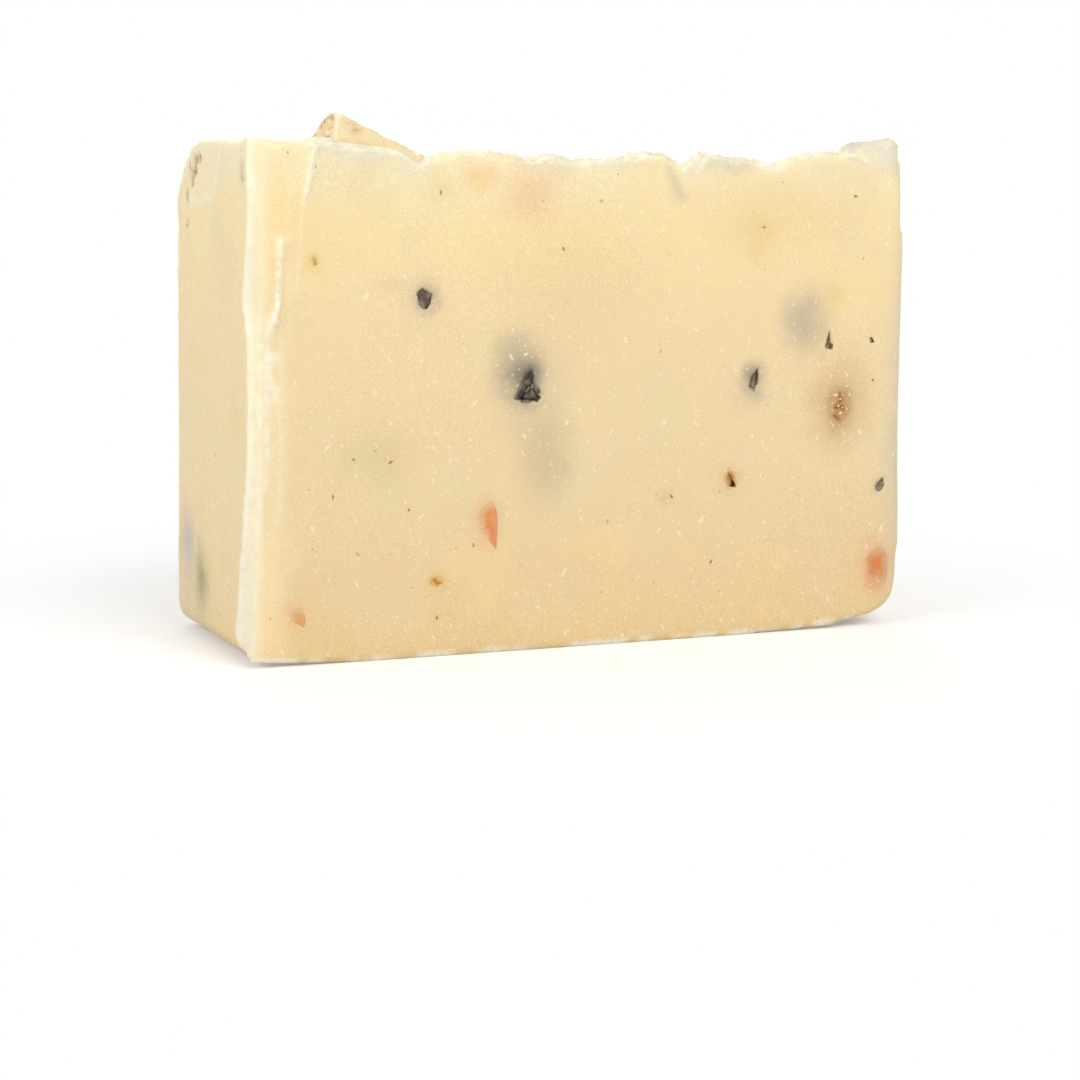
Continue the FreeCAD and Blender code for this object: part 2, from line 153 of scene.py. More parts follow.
# The lower border of the rough corner of the left end, as Y and Z
ROUGH_BORDER = [(-4.4, 63.5), (-3.1, 60.3), (-1.3, 56.6), (7.2, 55.9), (12.0, 50.0), (16.0, 44.0)]

# Pits in that corner, as Y, Z, radius and depth
END_PITS = [(7.0, 60.7, 1.5, 0.8), (8.4, 59.0, 1.2, 0.7), (5.2, 61.6, 0.9, 0.5), (10.6, 56.8, 0.8, 0.4),
            (9.6, 60.6, 1.0, 0.6), (10.6, 53.2, 0.5, 0.35), (10.2, 51.6, 0.3, 0.2), (-13.0, 59.6, 0.5, 0.25)]

# Chips that the front face cuts through, with how they look.
# veil is the share of soap over the whole chip, soft the width over which soap hides its edge, and
# clear the direction, in degrees, of the side that is clearer. sunk is how far the soap dips to it.
ChipLook = namedtuple("ChipLook", "node slot veil soft clear sunk relief stroke_width strokes")
CHIP_LOOKS = {
    "charcoal_chip_centre": ChipLook(
        "charcoal_bit_centre", "charcoal_soap", 0.06, 0.90, 290, 0.30, 0.16, 0.22, [
        [(0.16, 0.40), (0.12, 0.10), (0.16, -0.16)], [(-0.46, -0.42), (-0.10, -0.38), (0.40, -0.44)],
        [(0.16, -0.16), (0.30, -0.34), (0.44, -0.28)], [(0.06, -0.10), (-0.14, -0.26), (-0.24, -0.40)]]),
    "charcoal_chip_left": ChipLook("charcoal_bit_left", "charcoal_soap", 0.12, 0.40, 300, 0.30, 0.22, 0.20, [
        [(0.42, 0.05), (0.38, -0.24), (0.05, -0.44)], [(-0.44, 0.40), (-0.28, 0.34)],
        [(-0.10, 0.44), (0.12, 0.34)], [(-0.40, 0.06), (-0.36, -0.04)]]),
    "charcoal_chip_mid_right": ChipLook(
        "charcoal_bit_mid_right", "charcoal_soap", 0.26, 0.50, None, 0.20, 0.10, 0.17, [
            [(0.22, 0.46), (0.30, 0.10), (0.22, -0.15), (0.40, -0.46)]]),
    "charcoal_chip_edge": ChipLook("charcoal_bit_edge", "charcoal_soap", 0.24, 0.45, 280, 0.20, 0.08, 0.15, [
        [(0.20, -0.34), (-0.06, -0.42)]]),
    "grey_chip_large": ChipLook("grey_bit_large", "grey_soap", 0.06, 0.12, None, 0.24, 0.12, 0.09, [
        [(0.16, 0.46), (0.30, 0.10), (0.26, -0.20), (0.02, -0.48)]]),
    "grey_chip_edge": ChipLook("grey_bit_edge", "grey_soap", 0.06, 0.10, None, 0.20, 0.08, 0.10, [
        [(0.0, 0.40), (0.30, 0.1), (0.1, -0.40)]]),
    "coral_chip_centre": ChipLook("coral_bit_centre", "coral_soap", 0.08, 1.5, 350, 0.03, 0.03, 0.2, []),
    "coral_chip_corner": ChipLook("coral_bit_corner", "coral_soap", 0.06, 2.1, None, 0.03, 0.03, 0.2, []),
    "coral_chip_left": ChipLook("coral_bit_left", "coral_soap", 0.50, 1.5, 310, 0.03, 0.03, 0.2, []),
    "brown_chip_right": ChipLook("brown_bit_right", "brown_soap", 0.20, 2.1, None, 0.0, 0.06, 0.26, [
        [(-0.14, -0.06), (0.10, -0.02), (0.20, -0.12)], [(-0.20, -0.26), (0.06, -0.36)],
        [(0.02, 0.30), (0.04, 0.10)]]),
    "ochre_chip_low": ChipLook("ochre_bit_low", "amber_soap", 0.30, 0.45, None, 0.12, 0.14, 0.17, [
        [(-0.44, 0.30), (-0.12, 0.24), (0.04, -0.02)], [(0.10, -0.10), (0.30, -0.26), (0.44, -0.10)]]),
    "amber_chip_upper": ChipLook("amber_bit_upper", "amber_soap", 0.10, 0.20, None, 0.16, 0.06, 0.10, [
        [(-0.30, -0.20), (0.30, 0.30)]]),
    "yellow_chip_left": ChipLook("yellow_bit_left", "yellow_soap", 0.20, 0.55, None, 0.08, 0.08, 0.16, [
        [(0.0, 0.2), (0.1, -0.2)]]),
    "dark_seed": ChipLook("seed", "seed", 0.0, 0.08, None, 0.34, 0.10, 0.52, [
        [(-0.20, 0.34), (0.0, 0.0), (0.14, -0.36)]]),
}
CHIP_RAGGED = [(0.24, 0.9, 111), (0.20, 0.45, 114)]
SMOOTH_BELOW = 3.2          # chips smaller than this have a smoother edge
CLEARED = 0.65              # share of the soap that a clearer side has less
# Chips that show larger than their cut, and lean: their share, and how far X goes for each millimetre up
GROWN = {"seed": (1.45, -0.34), "grey_bit_large": (1.25, 0.0), "charcoal_bit_mid_right": (1.15, 0.0)}
BURIED_CHIPS = {
    "pink_bit_buried": "pink_soap", "orange_bit_buried": "amber_soap", "grey_bit_buried": "grey_soap",
    "olive_bit_buried": "olive_soap",
}

# The chunk in the top: its front, its depth, and the foot and slant of the edge where its left side broke
CHUNK_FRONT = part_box("top_chunk")[0].y / MM
CHUNK_DEPTH = (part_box("top_chunk")[1].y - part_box("top_chunk")[0].y) / MM
CHUNK_CORNER_FOOT = (-34.7, 63.9)
CHUNK_CORNER_SLANT = 0.39   # along X for each millimetre up
CHUNK_BREAK = 1.3           # how far the broken side slants back for each millimetre past that edge
CHUNK_CRUMBLE = 0.30        # height of its crumbly relief
CHUNK_PEAK = (-34.0, 0.45)  # X of its peak, and how much the peak is drawn up
CHUNK_SPOT = (-31.2, 65.9)  # middle of a crumbly spot on its front

# Lumps of crumbs and herb slivers: the inputs of their node trees
CRUMB_LUMPS = {"Lump size": (1.0, 0.55, 0.4), "Size spread": 0.6, "Roughness": 0.45, "Seed": 3}
HERB_LUMPS = {"Lump size": (1.0, 0.45, 0.35), "Size spread": 0.8, "Roughness": 0.35, "Seed": 11}
FLECK_SIZE = 0.75
DOT_SIZE = 0.42

# Where pale crumbs stick to the front, as X and Z
FRONT_CRUMBS = [
    (-41.6, 51.6), (-42.4, 42.5), (-38.6, 42.4), (-36.8, 42.0), (-32.8, 58.8), (-25.1, 55.6), (-25.7, 54.3),
    (-31.5, 50.6), (-33.7, 50.3), (-35.0, 48.5), (-29.1, 45.4), (-18.6, 47.8), (-17.5, 52.3), (-20.0, 32.4),
    (-18.0, 31.7), (-34.2, 28.2), (-32.8, 27.0), (-16.4, 27.4), (-25.2, 26.1), (-23.8, 12.5), (-37.6, 9.5),
    (-37.8, 12.5), (-5.4, 54.8), (-4.7, 57.2), (12.0, 50.6), (9.2, 51.9), (24.3, 47.9), (22.2, 44.7),
    (2.4, 40.0), (34.9, 48.5), (44.0, 41.3), (1.9, 35.1), (30.0, 30.2), (-1.1, 27.1), (9.5, 34.7),
    (15.4, 30.0), (7.0, 18.6), (26.0, 12.2), (20.1, 14.5), (36.3, 20.0), (24.7, 5.8), (9.4, 6.7),
    (-8.5, 28.2), (42.8, 50.3), (-4.4, 60.0), (-3.6, 59.6), (-3.0, 60.1), (-4.0, 59.1), (-2.8, 59.3),
    (10.3, 61.3), (11.2, 60.8), (-24.0, 60.6), (-22.9, 60.2), (-21.8, 60.9),
]
CHIP_CRUMBS = [
    (34.0, 31.2), (34.9, 32.2), (35.2, 31.4), (36.2, 31.4), (35.9, 30.8), (37.3, 31.4), (37.4, 31.8),
    (35.7, 29.9), (35.9, 28.9), (20.8, 21.9), (19.3, 20.1), (36.3, 29.7), (34.8, 30.3), (36.8, 32.5),
    (42.1, 17.5), (-21.9, 47.0), (-9.2, 37.8), (-7.6, 38.4),
]

# Where dried herb shows on the front, as X and Z: the flecks first, then smaller dots
FLECK_PLACES = [
    (-34.6, 20.9), (-24.7, 18.9), (-32.0, 25.5), (-27.1, 24.9), (-20.9, 5.1), (-20.7, 58.0), (-4.2, 51.0),
    (-16.0, 14.0), (11.5, 19.0), (17.4, 10.1), (37.3, 57.4), (40.7, 33.2),
]
DOT_PLACES = [
    (-40.3, 62.8), (-36.8, 61.1), (24.3, 48.0), (38.8, 49.3), (3.2, 60.2), (-29.1, 26.4), (-37.7, 21.9),
    (-24.2, 9.0), (-9.6, 11.1), (-42.7, 6.2), (-18.4, 13.7), (18.5, 19.3), (24.7, 21.0), (9.2, 7.8),
    (18.6, 6.1), (25.2, 30.4),
]

# The cream band under the rim: how its width varies, and where it is wider: by how much, X, reach
RIM_BAND = [(1.1, 6.0, 101), (0.6, 1.6, 102)]
WIDER_RIM = [(1.2, -27.0, 5.0), (0.8, 16.5, 3.0)]
FLAP_START = (34.0, 36.5)   # X where the flap at the right begins
SCRAPED = (23, 40, 1.3, -42.6)      # a scraped place by the trimmed edge: Z from and to, reach, X

# Clouds of colour, most where chips shine through, and greyer ones along the crest and on the flap at the
# right that are painted shade: middle, reach along X, Y and Z, sRGB colour, strength
Haze = namedtuple("Haze", "x y z wide deep high colour strength")
HAZES_AND_SHADE = [
    (-8.5, FRONT, 33.8, 9.5, 9.0, 10.5, (206, 190, 162), 0.45),
    (-6.4, FRONT, 24.6, 6.5, 6.0, 9.5, (196, 174, 148), 0.52),
    (-10.1, FRONT, 36.4, 5.0, 6.0, 6.4, (146, 142, 132), 0.55),
    (-9.0, FRONT, 34.4, 3.5, 5.0, 4.6, (80, 78, 76), 0.85),
    (-22.7, FRONT, 45.2, 5.2, 5.0, 5.4, (222, 199, 168), 0.40),
    (-22.6, FRONT, 45.1, 2.6, 3.0, 3.0, (176, 150, 138), 0.60),
    (-27.2, FRONT, 46.6, 3.4, 3.0, 1.9, (212, 196, 168), 0.30),
    (22.0, FRONT, 32.6, 5.0, 5.0, 5.4, (220, 198, 166), 0.42),
    (23.1, FRONT, 34.2, 2.3, 3.0, 3.6, (140, 128, 116), 0.70),
    (42.2, FRONT, 19.2, 1.9, 3.0, 2.4, (186, 172, 146), 0.50),
    (30.2, FRONT, 40.9, 5.6, 6.0, 7.4, (196, 181, 154), 0.85),
    (34.8, FRONT, 43.9, 2.2, 3.0, 2.9, (230, 204, 128), 0.55),
    (35.8, FRONT, 30.4, 7.0, 5.0, 9.5, (214, 176, 122), 0.72),
    (35.8, FRONT, 29.2, 3.2, 3.0, 4.4, (188, 136, 82), 0.70),
    (20.2, FRONT, 20.9, 4.0, 4.0, 4.0, (228, 196, 140), 0.40),
    (20.2, FRONT, 20.9, 1.7, 3.0, 2.2, (236, 176, 92), 0.75),
    (20.0, FRONT, 20.8, 1.0, 3.0, 1.5, (176, 104, 36), 0.90),
    (10.8, FRONT, 18.6, 1.9, 3.0, 1.6, (216, 186, 120), 0.55),
    (-28.5, FRONT, 25.6, 9.0, 6.0, 7.0, (222, 203, 148), 0.50),
    (-8.8, FRONT, 57.0, 5.6, 5.0, 5.6, (238, 196, 152), 0.60),
    (-15.7, FRONT, 59.0, 3.4, 4.0, 3.0, (244, 205, 130), 0.60),
    (11.6, FRONT, 58.6, 2.4, 4.0, 2.4, (206, 192, 158), 0.55),
    (24.2, FRONT, 53.0, 3.2, 4.0, 2.9, (240, 196, 122), 0.65),
    (23.2, FRONT, 49.8, 2.2, 4.0, 2.4, (236, 202, 128), 0.45),
    (-13.9, FRONT, 16.8, 2.9, 4.0, 5.0, (243, 182, 132), 0.70),
    (41.9, FRONT, 8.3, 5.0, 5.0, 6.0, (238, 184, 134), 0.80),
    (42.2, FRONT, 8.2, 2.7, 4.0, 4.0, (222, 132, 80), 0.85),
    (-39.2, FRONT, 6.3, 2.5, 4.0, 3.4, (244, 196, 142), 0.70),
    (-21.0, FRONT, 9.6, 2.6, 3.0, 2.2, (234, 190, 112), 0.70),
    (-36.9, FRONT, 49.5, 1.9, 3.0, 3.0, (240, 202, 120), 0.60),
    (-21.0, FRONT, 57.6, 3.6, 4.0, 2.4, (238, 210, 146), 0.45),
    (-40.5, FRONT, 57.0, 2.6, 3.0, 9.0, (251, 222, 158), 0.55),
    (-42.2, FRONT, 12.0, 3.6, 3.0, 19.0, (252, 232, 184), 0.65),
    (-41.6, FRONT, 32.0, 3.0, 3.0, 13.0, (250, 232, 184), 0.45),
    (RIGHT, FRONT, 30.0, 4.4, 9.0, 42.0, (217, 206, 178), 0.85),
    (LEFT, 8.0, 6.0, 4.0, 13.0, 13.0, (214, 202, 170), 0.60),
    (LEFT, 10.6, 12.2, 4.0, 5.6, 6.0, (190, 182, 176), 0.75),
    (LEFT, 4.2, 7.8, 4.0, 5.0, 6.6, (178, 164, 110), 0.80),
    (LEFT, 4.4, 8.4, 4.0, 2.2, 3.6, (160, 148, 88), 0.60),
    (LEFT, -10.5, 30.1, 3.0, 3.0, 4.6, (240, 206, 146), 0.55),
    (LEFT, -13.0, 59.6, 3.0, 1.4, 2.6, (198, 172, 152), 0.60),
    (LEFT, -6.0, 44.0, 3.0, 9.0, 16.0, (243, 216, 172), 0.45),
    (RIGHT, 5.0, 30.0, 3.0, 5.0, 6.0, (228, 206, 160), 0.45),
    (RIGHT, -4.0, 48.0, 3.0, 3.0, 3.4, (240, 200, 150), 0.40),
    (-20.0, BACK, 38.0, 7.0, 6.0, 6.0, (214, 200, 166), 0.50),
    (18.0, BACK, 20.0, 4.0, 5.0, 5.0, (240, 196, 150), 0.50),
    (28.0, BACK, 47.0, 5.0, 5.0, 4.0, (226, 204, 150), 0.50),
    (-34.0, BACK, 14.0, 4.0, 4.0, 4.0, (232, 200, 140), 0.45),
    (2.0, BACK, 52.0, 4.0, 4.0, 3.0, (240, 206, 160), 0.45),
    # Along the crest: pale soap, with greyer painted shade under the lip
    (-36.3, FRONT, 63.6, 2.4, 3.0, 2.0, (236, 231, 214), 0.95),
    (-30.5, FRONT, 63.2, 8.5, 4.0, 2.6, (232, 227, 206), 0.85),
    (-23.5, FRONT, 61.4, 4.0, 4.0, 2.4, (236, 229, 206), 0.65),
    (-15.5, FRONT, 62.9, 6.0, 4.0, 1.6, (238, 226, 190), 0.55),
    (-6.0, FRONT, 62.2, 7.5, 4.0, 3.0, (224, 218, 198), 0.90),
    (3.0, FRONT, 62.0, 6.0, 4.0, 2.6, (226, 220, 200), 0.85),
    (9.0, FRONT, 62.6, 5.0, 4.0, 2.2, (228, 222, 200), 0.80),
    (16.5, FRONT, 62.2, 5.4, 4.0, 3.6, (222, 217, 198), 0.95),
    (20.0, FRONT, 62.0, 3.8, 4.0, 2.6, (212, 204, 182), 0.90),
    (25.0, FRONT, 61.6, 3.6, 4.0, 1.8, (250, 244, 222), 0.85),
    (42.0, FRONT, 62.0, 5.4, 4.0, 2.6, (236, 231, 212), 0.85),
    (31.5, FRONT, 62.9, 5.0, 4.0, 1.8, (236, 226, 196), 0.70),
    # Painted shade on the flap at the right
    (41.0, FRONT, 64.8, 8.6, 12.0, 3.2, (216, 209, 194), 1.00),
    (38.0, FRONT, 63.8, 3.6, 4.0, 1.6, (206, 201, 190), 0.95),
    (-2.0, FRONT, 46.0, 17.0, 6.0, 14.0, (232, 208, 158), 0.40),
    (26.0, FRONT, 55.0, 17.0, 6.0, 8.0, (240, 212, 156), 0.55),
    # Painted shade under the lip at the right end
    (44.8, FRONT, 61.0, 3.2, 4.0, 5.5, (224, 216, 188), 0.80),
]

# Colours, as sRGB
CLOUDS = (250, 219, 160), (234, 217, 172)           # of the soap: golden and greenish
PALE_FLECK, BROWN_FLECK = (255, 247, 220), (176, 138, 88)
TANS = (243, 222, 172), (247, 230, 188)             # of the chunk
TAN_GRAIN, TAN_BORDER = (252, 240, 208), (254, 244, 214)
CRUMBLED = (228, 206, 168), (190, 142, 104), (252, 243, 220)    # where it broke: ground, brown, white
TAN_FLECKS = (204, 172, 122), (255, 247, 224)
HERBS, HERB_FIBRE = ((200, 144, 76), (160, 136, 88)), (138, 96, 52)
CRUMBS = (251, 234, 192), (255, 243, 214)

# Skins of the soap: sRGB colour, and how a patchy noise from one value to another changes their share
SKINS = {
    "pale": ((246, 233, 197), 0.30, 0.62, 0.72, 1.0),
    # White: pale soap, with painted highlight on the trimmed edge, the ridges and the foot
    "white": ((253, 247, 227), 0.36, 0.56, 0.55, 1.0),
    # Darker in the pits, the more the deeper
    "pit_darkening": ((150, 116, 82), 0.38, 0.52, 0.25, 0.95),
}

# Flecks: cell, share of the cells that have one, size, slant, seed and strength
PALE_FLECKS = [
    (0.95, 0.45, 0.22, -0.3, 3.0, 0.38),
    (2.0, 0.30, 0.34, 0.9, 31.0, 0.52),
    (6.5, 0.28, 0.48, -0.9, 77.0, 0.55),
]
BROWN_FLECKS = (8.0, 0.35, 0.26, 0.4, 141.0, 0.5)
CHUNK_BROWN_FLECKS = (2.4, 0.40, 0.36, 0.5, 5.0, 0.7)
CHUNK_PALE_FLECKS = (1.5, 0.40, 0.34, -0.6, 9.0, 0.9)

# The soap's colour from the base up, partly its own tone and partly painted shade towards the base and
# painted light towards the top: share of the height and sRGB colour
SOAP_AND_SHADING_BY_HEIGHT = [
    (0.00, (234, 205, 152)), (0.12, (236, 209, 160)), (0.35, (239, 216, 170)), (0.60, (243, 219, 171)),
    (0.86, (250, 226, 173)), (0.97, (247, 232, 192)),
]

# Camera, from the bar's own edges in the photograph
CAMERA_PLACE = (-145.2, -338.7, 69.5)
CAMERA_TURN = -23.2         # degrees about Z from looking along +Y
CAMERA_DIP = 8.956          # degrees below level
CAMERA_ROLL = 0.6745
FOCAL_SHARE = 2800 / 1080   # focal length against the frame's width
SENSOR = 36.0

# Light: a value of 1 shows a colour as it is written
WORLD_LIGHT = 0.50
Lamp = namedtuple("Lamp", "name x y z side light")
LAMPS = [
    Lamp("Key light", 150.0, -640.0, 620.0, 520.0, 0.42),
    Lamp("Fill light", -720.0, -240.0, 380.0, 520.0, 0.34),
    Lamp("Back light", 120.0, 700.0, 560.0, 480.0, 0.18),
]
FLOOR_SIDE = 20000.0
FLOOR_NEAR = 40.0           # the floor shows shadows this far out, and fades to white at FLOOR_FAR
FLOOR_FAR = 110.0


def soft_step(values, low, high):
    """A smooth step from 0 at low to 1 at high."""
    share = np.clip((values - low) / (high - low), 0, 1)
    return share * share * (3 - 2 * share)


def bell(offset, width):
    """A soft bump, 1 at no offset."""
    return np.exp(-(offset / width) ** 2)


def soft_noise(places, size, seed):
    """Smooth noise from -1 to 1 with grains of about the given size."""
    cells = places / size
    base = np.floor(cells).astype(int)
    part = cells - base
    part = part * part * (3 - 2 * part)
    table = np.random.default_rng(seed).random((64, 64, 64)) * 2 - 1
    total = 0
    for corner in range(8):
        step = np.array([corner & 1, corner >> 1 & 1, corner >> 2])
        weight = np.prod(np.where(step == 1, part, 1 - part), axis=1)
        index = (base + step) % 64
        total = total + weight * table[index[:, 0], index[:, 1], index[:, 2]]
    return total


def layered_noise(places, size, layers, seed):
    """Soft noise with finer and weaker layers added."""
    total = 0
    for layer in range(layers):
        total = total + soft_noise(places, size / 2 ** layer, seed + layer) / 2 ** layer
    return total


def ripples(places, layers):
    """The sum of noise layers, each a height, a grain size and a seed."""
    return sum(height * soft_noise(places, size, seed) for height, size, seed in layers)


def strongest(*shares):
    """The largest of some shares at each point."""
    return np.max(np.stack(shares), axis=0)


def along_line(values, line):
    """The second number of a line of pairs, at each value of the first."""
    return np.interp(values, [pair[0] for pair in line], [pair[1] for pair in line])


def path_distance(points, path):
    """Distance from each flat point to a path of straight runs."""
    nearest = np.full(len(points), 1e9)
    for start, end in zip(path, path[1:]):
        start, end = np.array(start), np.array(end)
        run = end - start
        share = np.clip((points - start) @ run / (run @ run), 0, 1)
        offset = points - (start + share[:, None] * run)
        nearest = np.minimum(nearest, np.hypot(offset[:, 0], offset[:, 1]))
    return nearest


def inside_distance(points, outline):
    """Distance from each flat point to an outline: positive inside it, negative outside."""
    distance = path_distance(points, [*outline, outline[0]])
    inside = np.zeros(len(points), bool)
    for (x0, z0), (x1, z1) in zip(outline, [*outline[1:], outline[0]]):
        crosses = (z0 > points[:, 1]) != (z1 > points[:, 1])
        reach = x0 + (points[:, 1] - z0) / (z1 - z0 + 1e-12) * (x1 - x0)
        inside ^= crosses & (points[:, 0] < reach)
    return np.where(inside, distance, -distance)


def link(name, mesh):
    """A new object in the scene with this mesh."""
    piece = bpy.data.objects.new(name, mesh)
    bpy.context.scene.collection.objects.link(piece)
    return piece


@contextmanager
def edited(mesh):
    """A mesh opened for work on it, and written back afterwards."""
    work = bmesh.new()
    work.from_mesh(mesh)
    yield work
    work.to_mesh(mesh)
    work.free()


def solid_copy(node):
    """A merged copy of a CAD node's mesh, in millimetres."""
    mesh = frame["nodes"][node].data.copy()
    mesh.materials.clear()
    mesh.transform(Matrix.Scale(1 / MM, 4))
    with edited(mesh) as work:
        bmesh.ops.remove_doubles(work, verts=work.verts, dist=0.002)
    return mesh


def connected_groups(work):
    """The faces of a bmesh in groups that hang together."""
    seen, groups = set(), []
    for first in work.faces:
        if first in seen:
            continue
        seen.add(first)
        group, waiting = [], [first]
        while waiting:
            face = waiting.pop()
            group.append(face)
            for edge in face.edges:
                for other in edge.link_faces:
                    if other not in seen:
                        seen.add(other)
                        waiting.append(other)
        groups.append(group)
    return groups


def close_front(mesh):
    """Takes the pockets of the chips out of the block's mesh and closes the front again."""
    with edited(mesh) as work:
        flat = [face for face in work.faces if all(abs(v.co.y - FRONT) < 0.001 for v in face.verts)]
        bmesh.ops.delete(work, geom=flat, context="FACES")
        groups = sorted(connected_groups(work), key=len)
        pockets = [face for group in groups[:-1] for face in group]
        bmesh.ops.delete(work, geom=pockets, context="FACES")
        rim = [edge for edge in work.edges if edge.is_boundary]
        bmesh.ops.holes_fill(work, edges=rim, sides=0)
        bmesh.ops.recalc_face_normals(work, faces=work.faces)
        bmesh.ops.triangulate(work, faces=work.faces)


def result_of(piece):
    """The mesh that a piece's modifier makes. The piece itself goes."""
    depsgraph = bpy.context.evaluated_depsgraph_get()
    mesh = bpy.data.meshes.new_from_object(piece.evaluated_get(depsgraph))
    bpy.data.objects.remove(piece)
    return mesh


def even_mesh(mesh, voxel):
    """The same shape in even quads of about the voxel's size."""
    piece = link("even", mesh)
    modifier = piece.modifiers.new("Even quads", "REMESH")
    modifier.mode = "VOXEL"
    modifier.voxel_size = voxel
    modifier.adaptivity = 0.0
    return result_of(piece)


def rows(items, name):
    """The same vector of every item, as rows of X, Y and Z."""
    flat = np.zeros(len(items) * 3, np.float32)
    items.foreach_get(name, flat)
    return flat.reshape(-1, 3).astype(float)


def places_of(mesh):
    """A mesh's points."""
    return rows(mesh.vertices, "co")


def facing_of(mesh):
    """The direction that each point of a mesh faces."""
    return rows(mesh.vertex_normals, "vector")


def set_places(mesh, places):
    """Moves a mesh's points."""
    mesh.vertices.foreach_set("co", places.astype(np.float32).ravel())
    mesh.update()


def set_share(mesh, name, values):
    """Keeps a number from 0 to 1 at each point, for the material."""
    attribute = mesh.attributes.new(name, "FLOAT", "POINT")
    attribute.data.foreach_set("value", np.clip(values, 0, 1).astype(np.float32))


def refine(mesh, wanted):
    """Splits each face whose middle is wanted into four."""
    chosen = wanted(rows(mesh.polygons, "center"))
    with edited(mesh) as work:
        tagged = {face for face, hit in zip(work.faces, chosen) if hit}
        edges = [edge for edge in work.edges if any(face in tagged for face in edge.link_faces)]
        bmesh.ops.subdivide_edges(work, edges=edges, cuts=1, use_grid_fill=True)


def soften(mesh, passes, chosen, across=True):
    """Softens the flat facets that the solid has where its points are chosen."""
    with edited(mesh) as work:
        verts = [vert for vert in work.verts if chosen(vert)]
        for _ in range(passes):
            bmesh.ops.smooth_vert(
                work, verts=verts, factor=0.5, use_axis_x=True, use_axis_y=across, use_axis_z=True)


def on_the_top(vert):
    """Whether a point is on the poured top."""
    return vert.co.z > RIM - 5 and vert.normal.z > 0.3


def on_the_foot(vert):
    """Whether a point is on the rounded foot of the right end."""
    return vert.co.x > RIGHT - 9 and 0.3 < vert.co.z < 11


def finished(name, mesh, material, slot, *nodes):
    """Puts a finished mesh in the scene, in metres, as a piece that stands for its CAD nodes."""
    mesh.transform(Matrix.Scale(MM, 4))
    mesh.materials.clear()
    mesh.materials.append(material)
    mesh.shade_smooth()
    piece = link(name, mesh)
    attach(piece, "root")
    if nodes:
        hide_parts(*nodes)
    return piece


def front_wave(x, z):
    """How far the front swells and sinks, the same for the soap and the chips in it."""
    return ripples(np.stack([x, np.zeros_like(x), z], axis=1), FRONT_WAVES)


def front_outline(node):
    """Outline of a chip on the front face, from its CAD mesh, as X and Z."""
    places = places_of(frame["nodes"][node].data) / MM
    face = np.unique(np.round(places[places[:, 1] < FRONT + 0.01][:, [0, 2]], 3), axis=0)
    offset = face - face.mean(axis=0)
    order = np.argsort(np.arctan2(offset[:, 1], offset[:, 0]))
    return [tuple(point) for point in face[order]]


def grown(points, node):
    """Points of a chip, as X and Z, moved out from its middle and leaned as GROWN says."""
    share, lean = GROWN.get(node, (1.0, 0.0))
    middle = np.mean(front_outline(node), axis=0)
    offset = (np.array(points) - middle) * share
    offset[:, 0] += lean * offset[:, 1]
    return middle + offset


OUTLINES = {look.node: [tuple(point) for point in grown(front_outline(look.node), look.node)]
            for look in CHIP_LOOKS.values()}


def near_a_chip(middles, reach):
    """Which places on the front are within reach of a chip's outline."""
    near = np.zeros(len(middles), bool)
    flat = middles[:, [0, 2]]
    for outline in OUTLINES.values():
        near |= inside_distance(flat, outline) > -reach
    return near & (middles[:, 1] < FRONT + 0.5)


def near_a_ridge(middles):
    """Which places on the front are on a raised line."""
    flat = middles[:, [0, 2]]
    distance = np.min([path_distance(flat, ridge.path) for ridge in FINE_RIDGES], axis=0)
    return (distance < RIDGE_REACH) & (middles[:, 1] < FRONT + 1.5)


def fine_area(middles):
    """Where the body's mesh is finer: its top, its left end and the trimmed edge."""
    x, y, z = middles.T
    on_edge = (x < FINE_LEFT_OF) & (y < FRONT + 4.0)
    on_end = x < LEFT + 0.9
    return (z > FINE_ABOVE) | on_edge | on_end | near_a_chip(middles, CHIP_REACH[0])


def finest_area(middles):
    """Where it is finer still: by the chips' edges and the thin ridges."""
    return near_a_chip(middles, CHIP_REACH[1]) | near_a_ridge(middles)


def trim_front_depth(z):
    """How far the shallow slice lies behind the front, beside the trimmed edge."""
    share = np.clip((z - (RIM - FACET_HEIGHT)) / FACET_HEIGHT, 0, 1.1)
    return FACET_DEPTH * share * (1 - TRIM_AT_TOP / FACET_TOP_WIDTH)


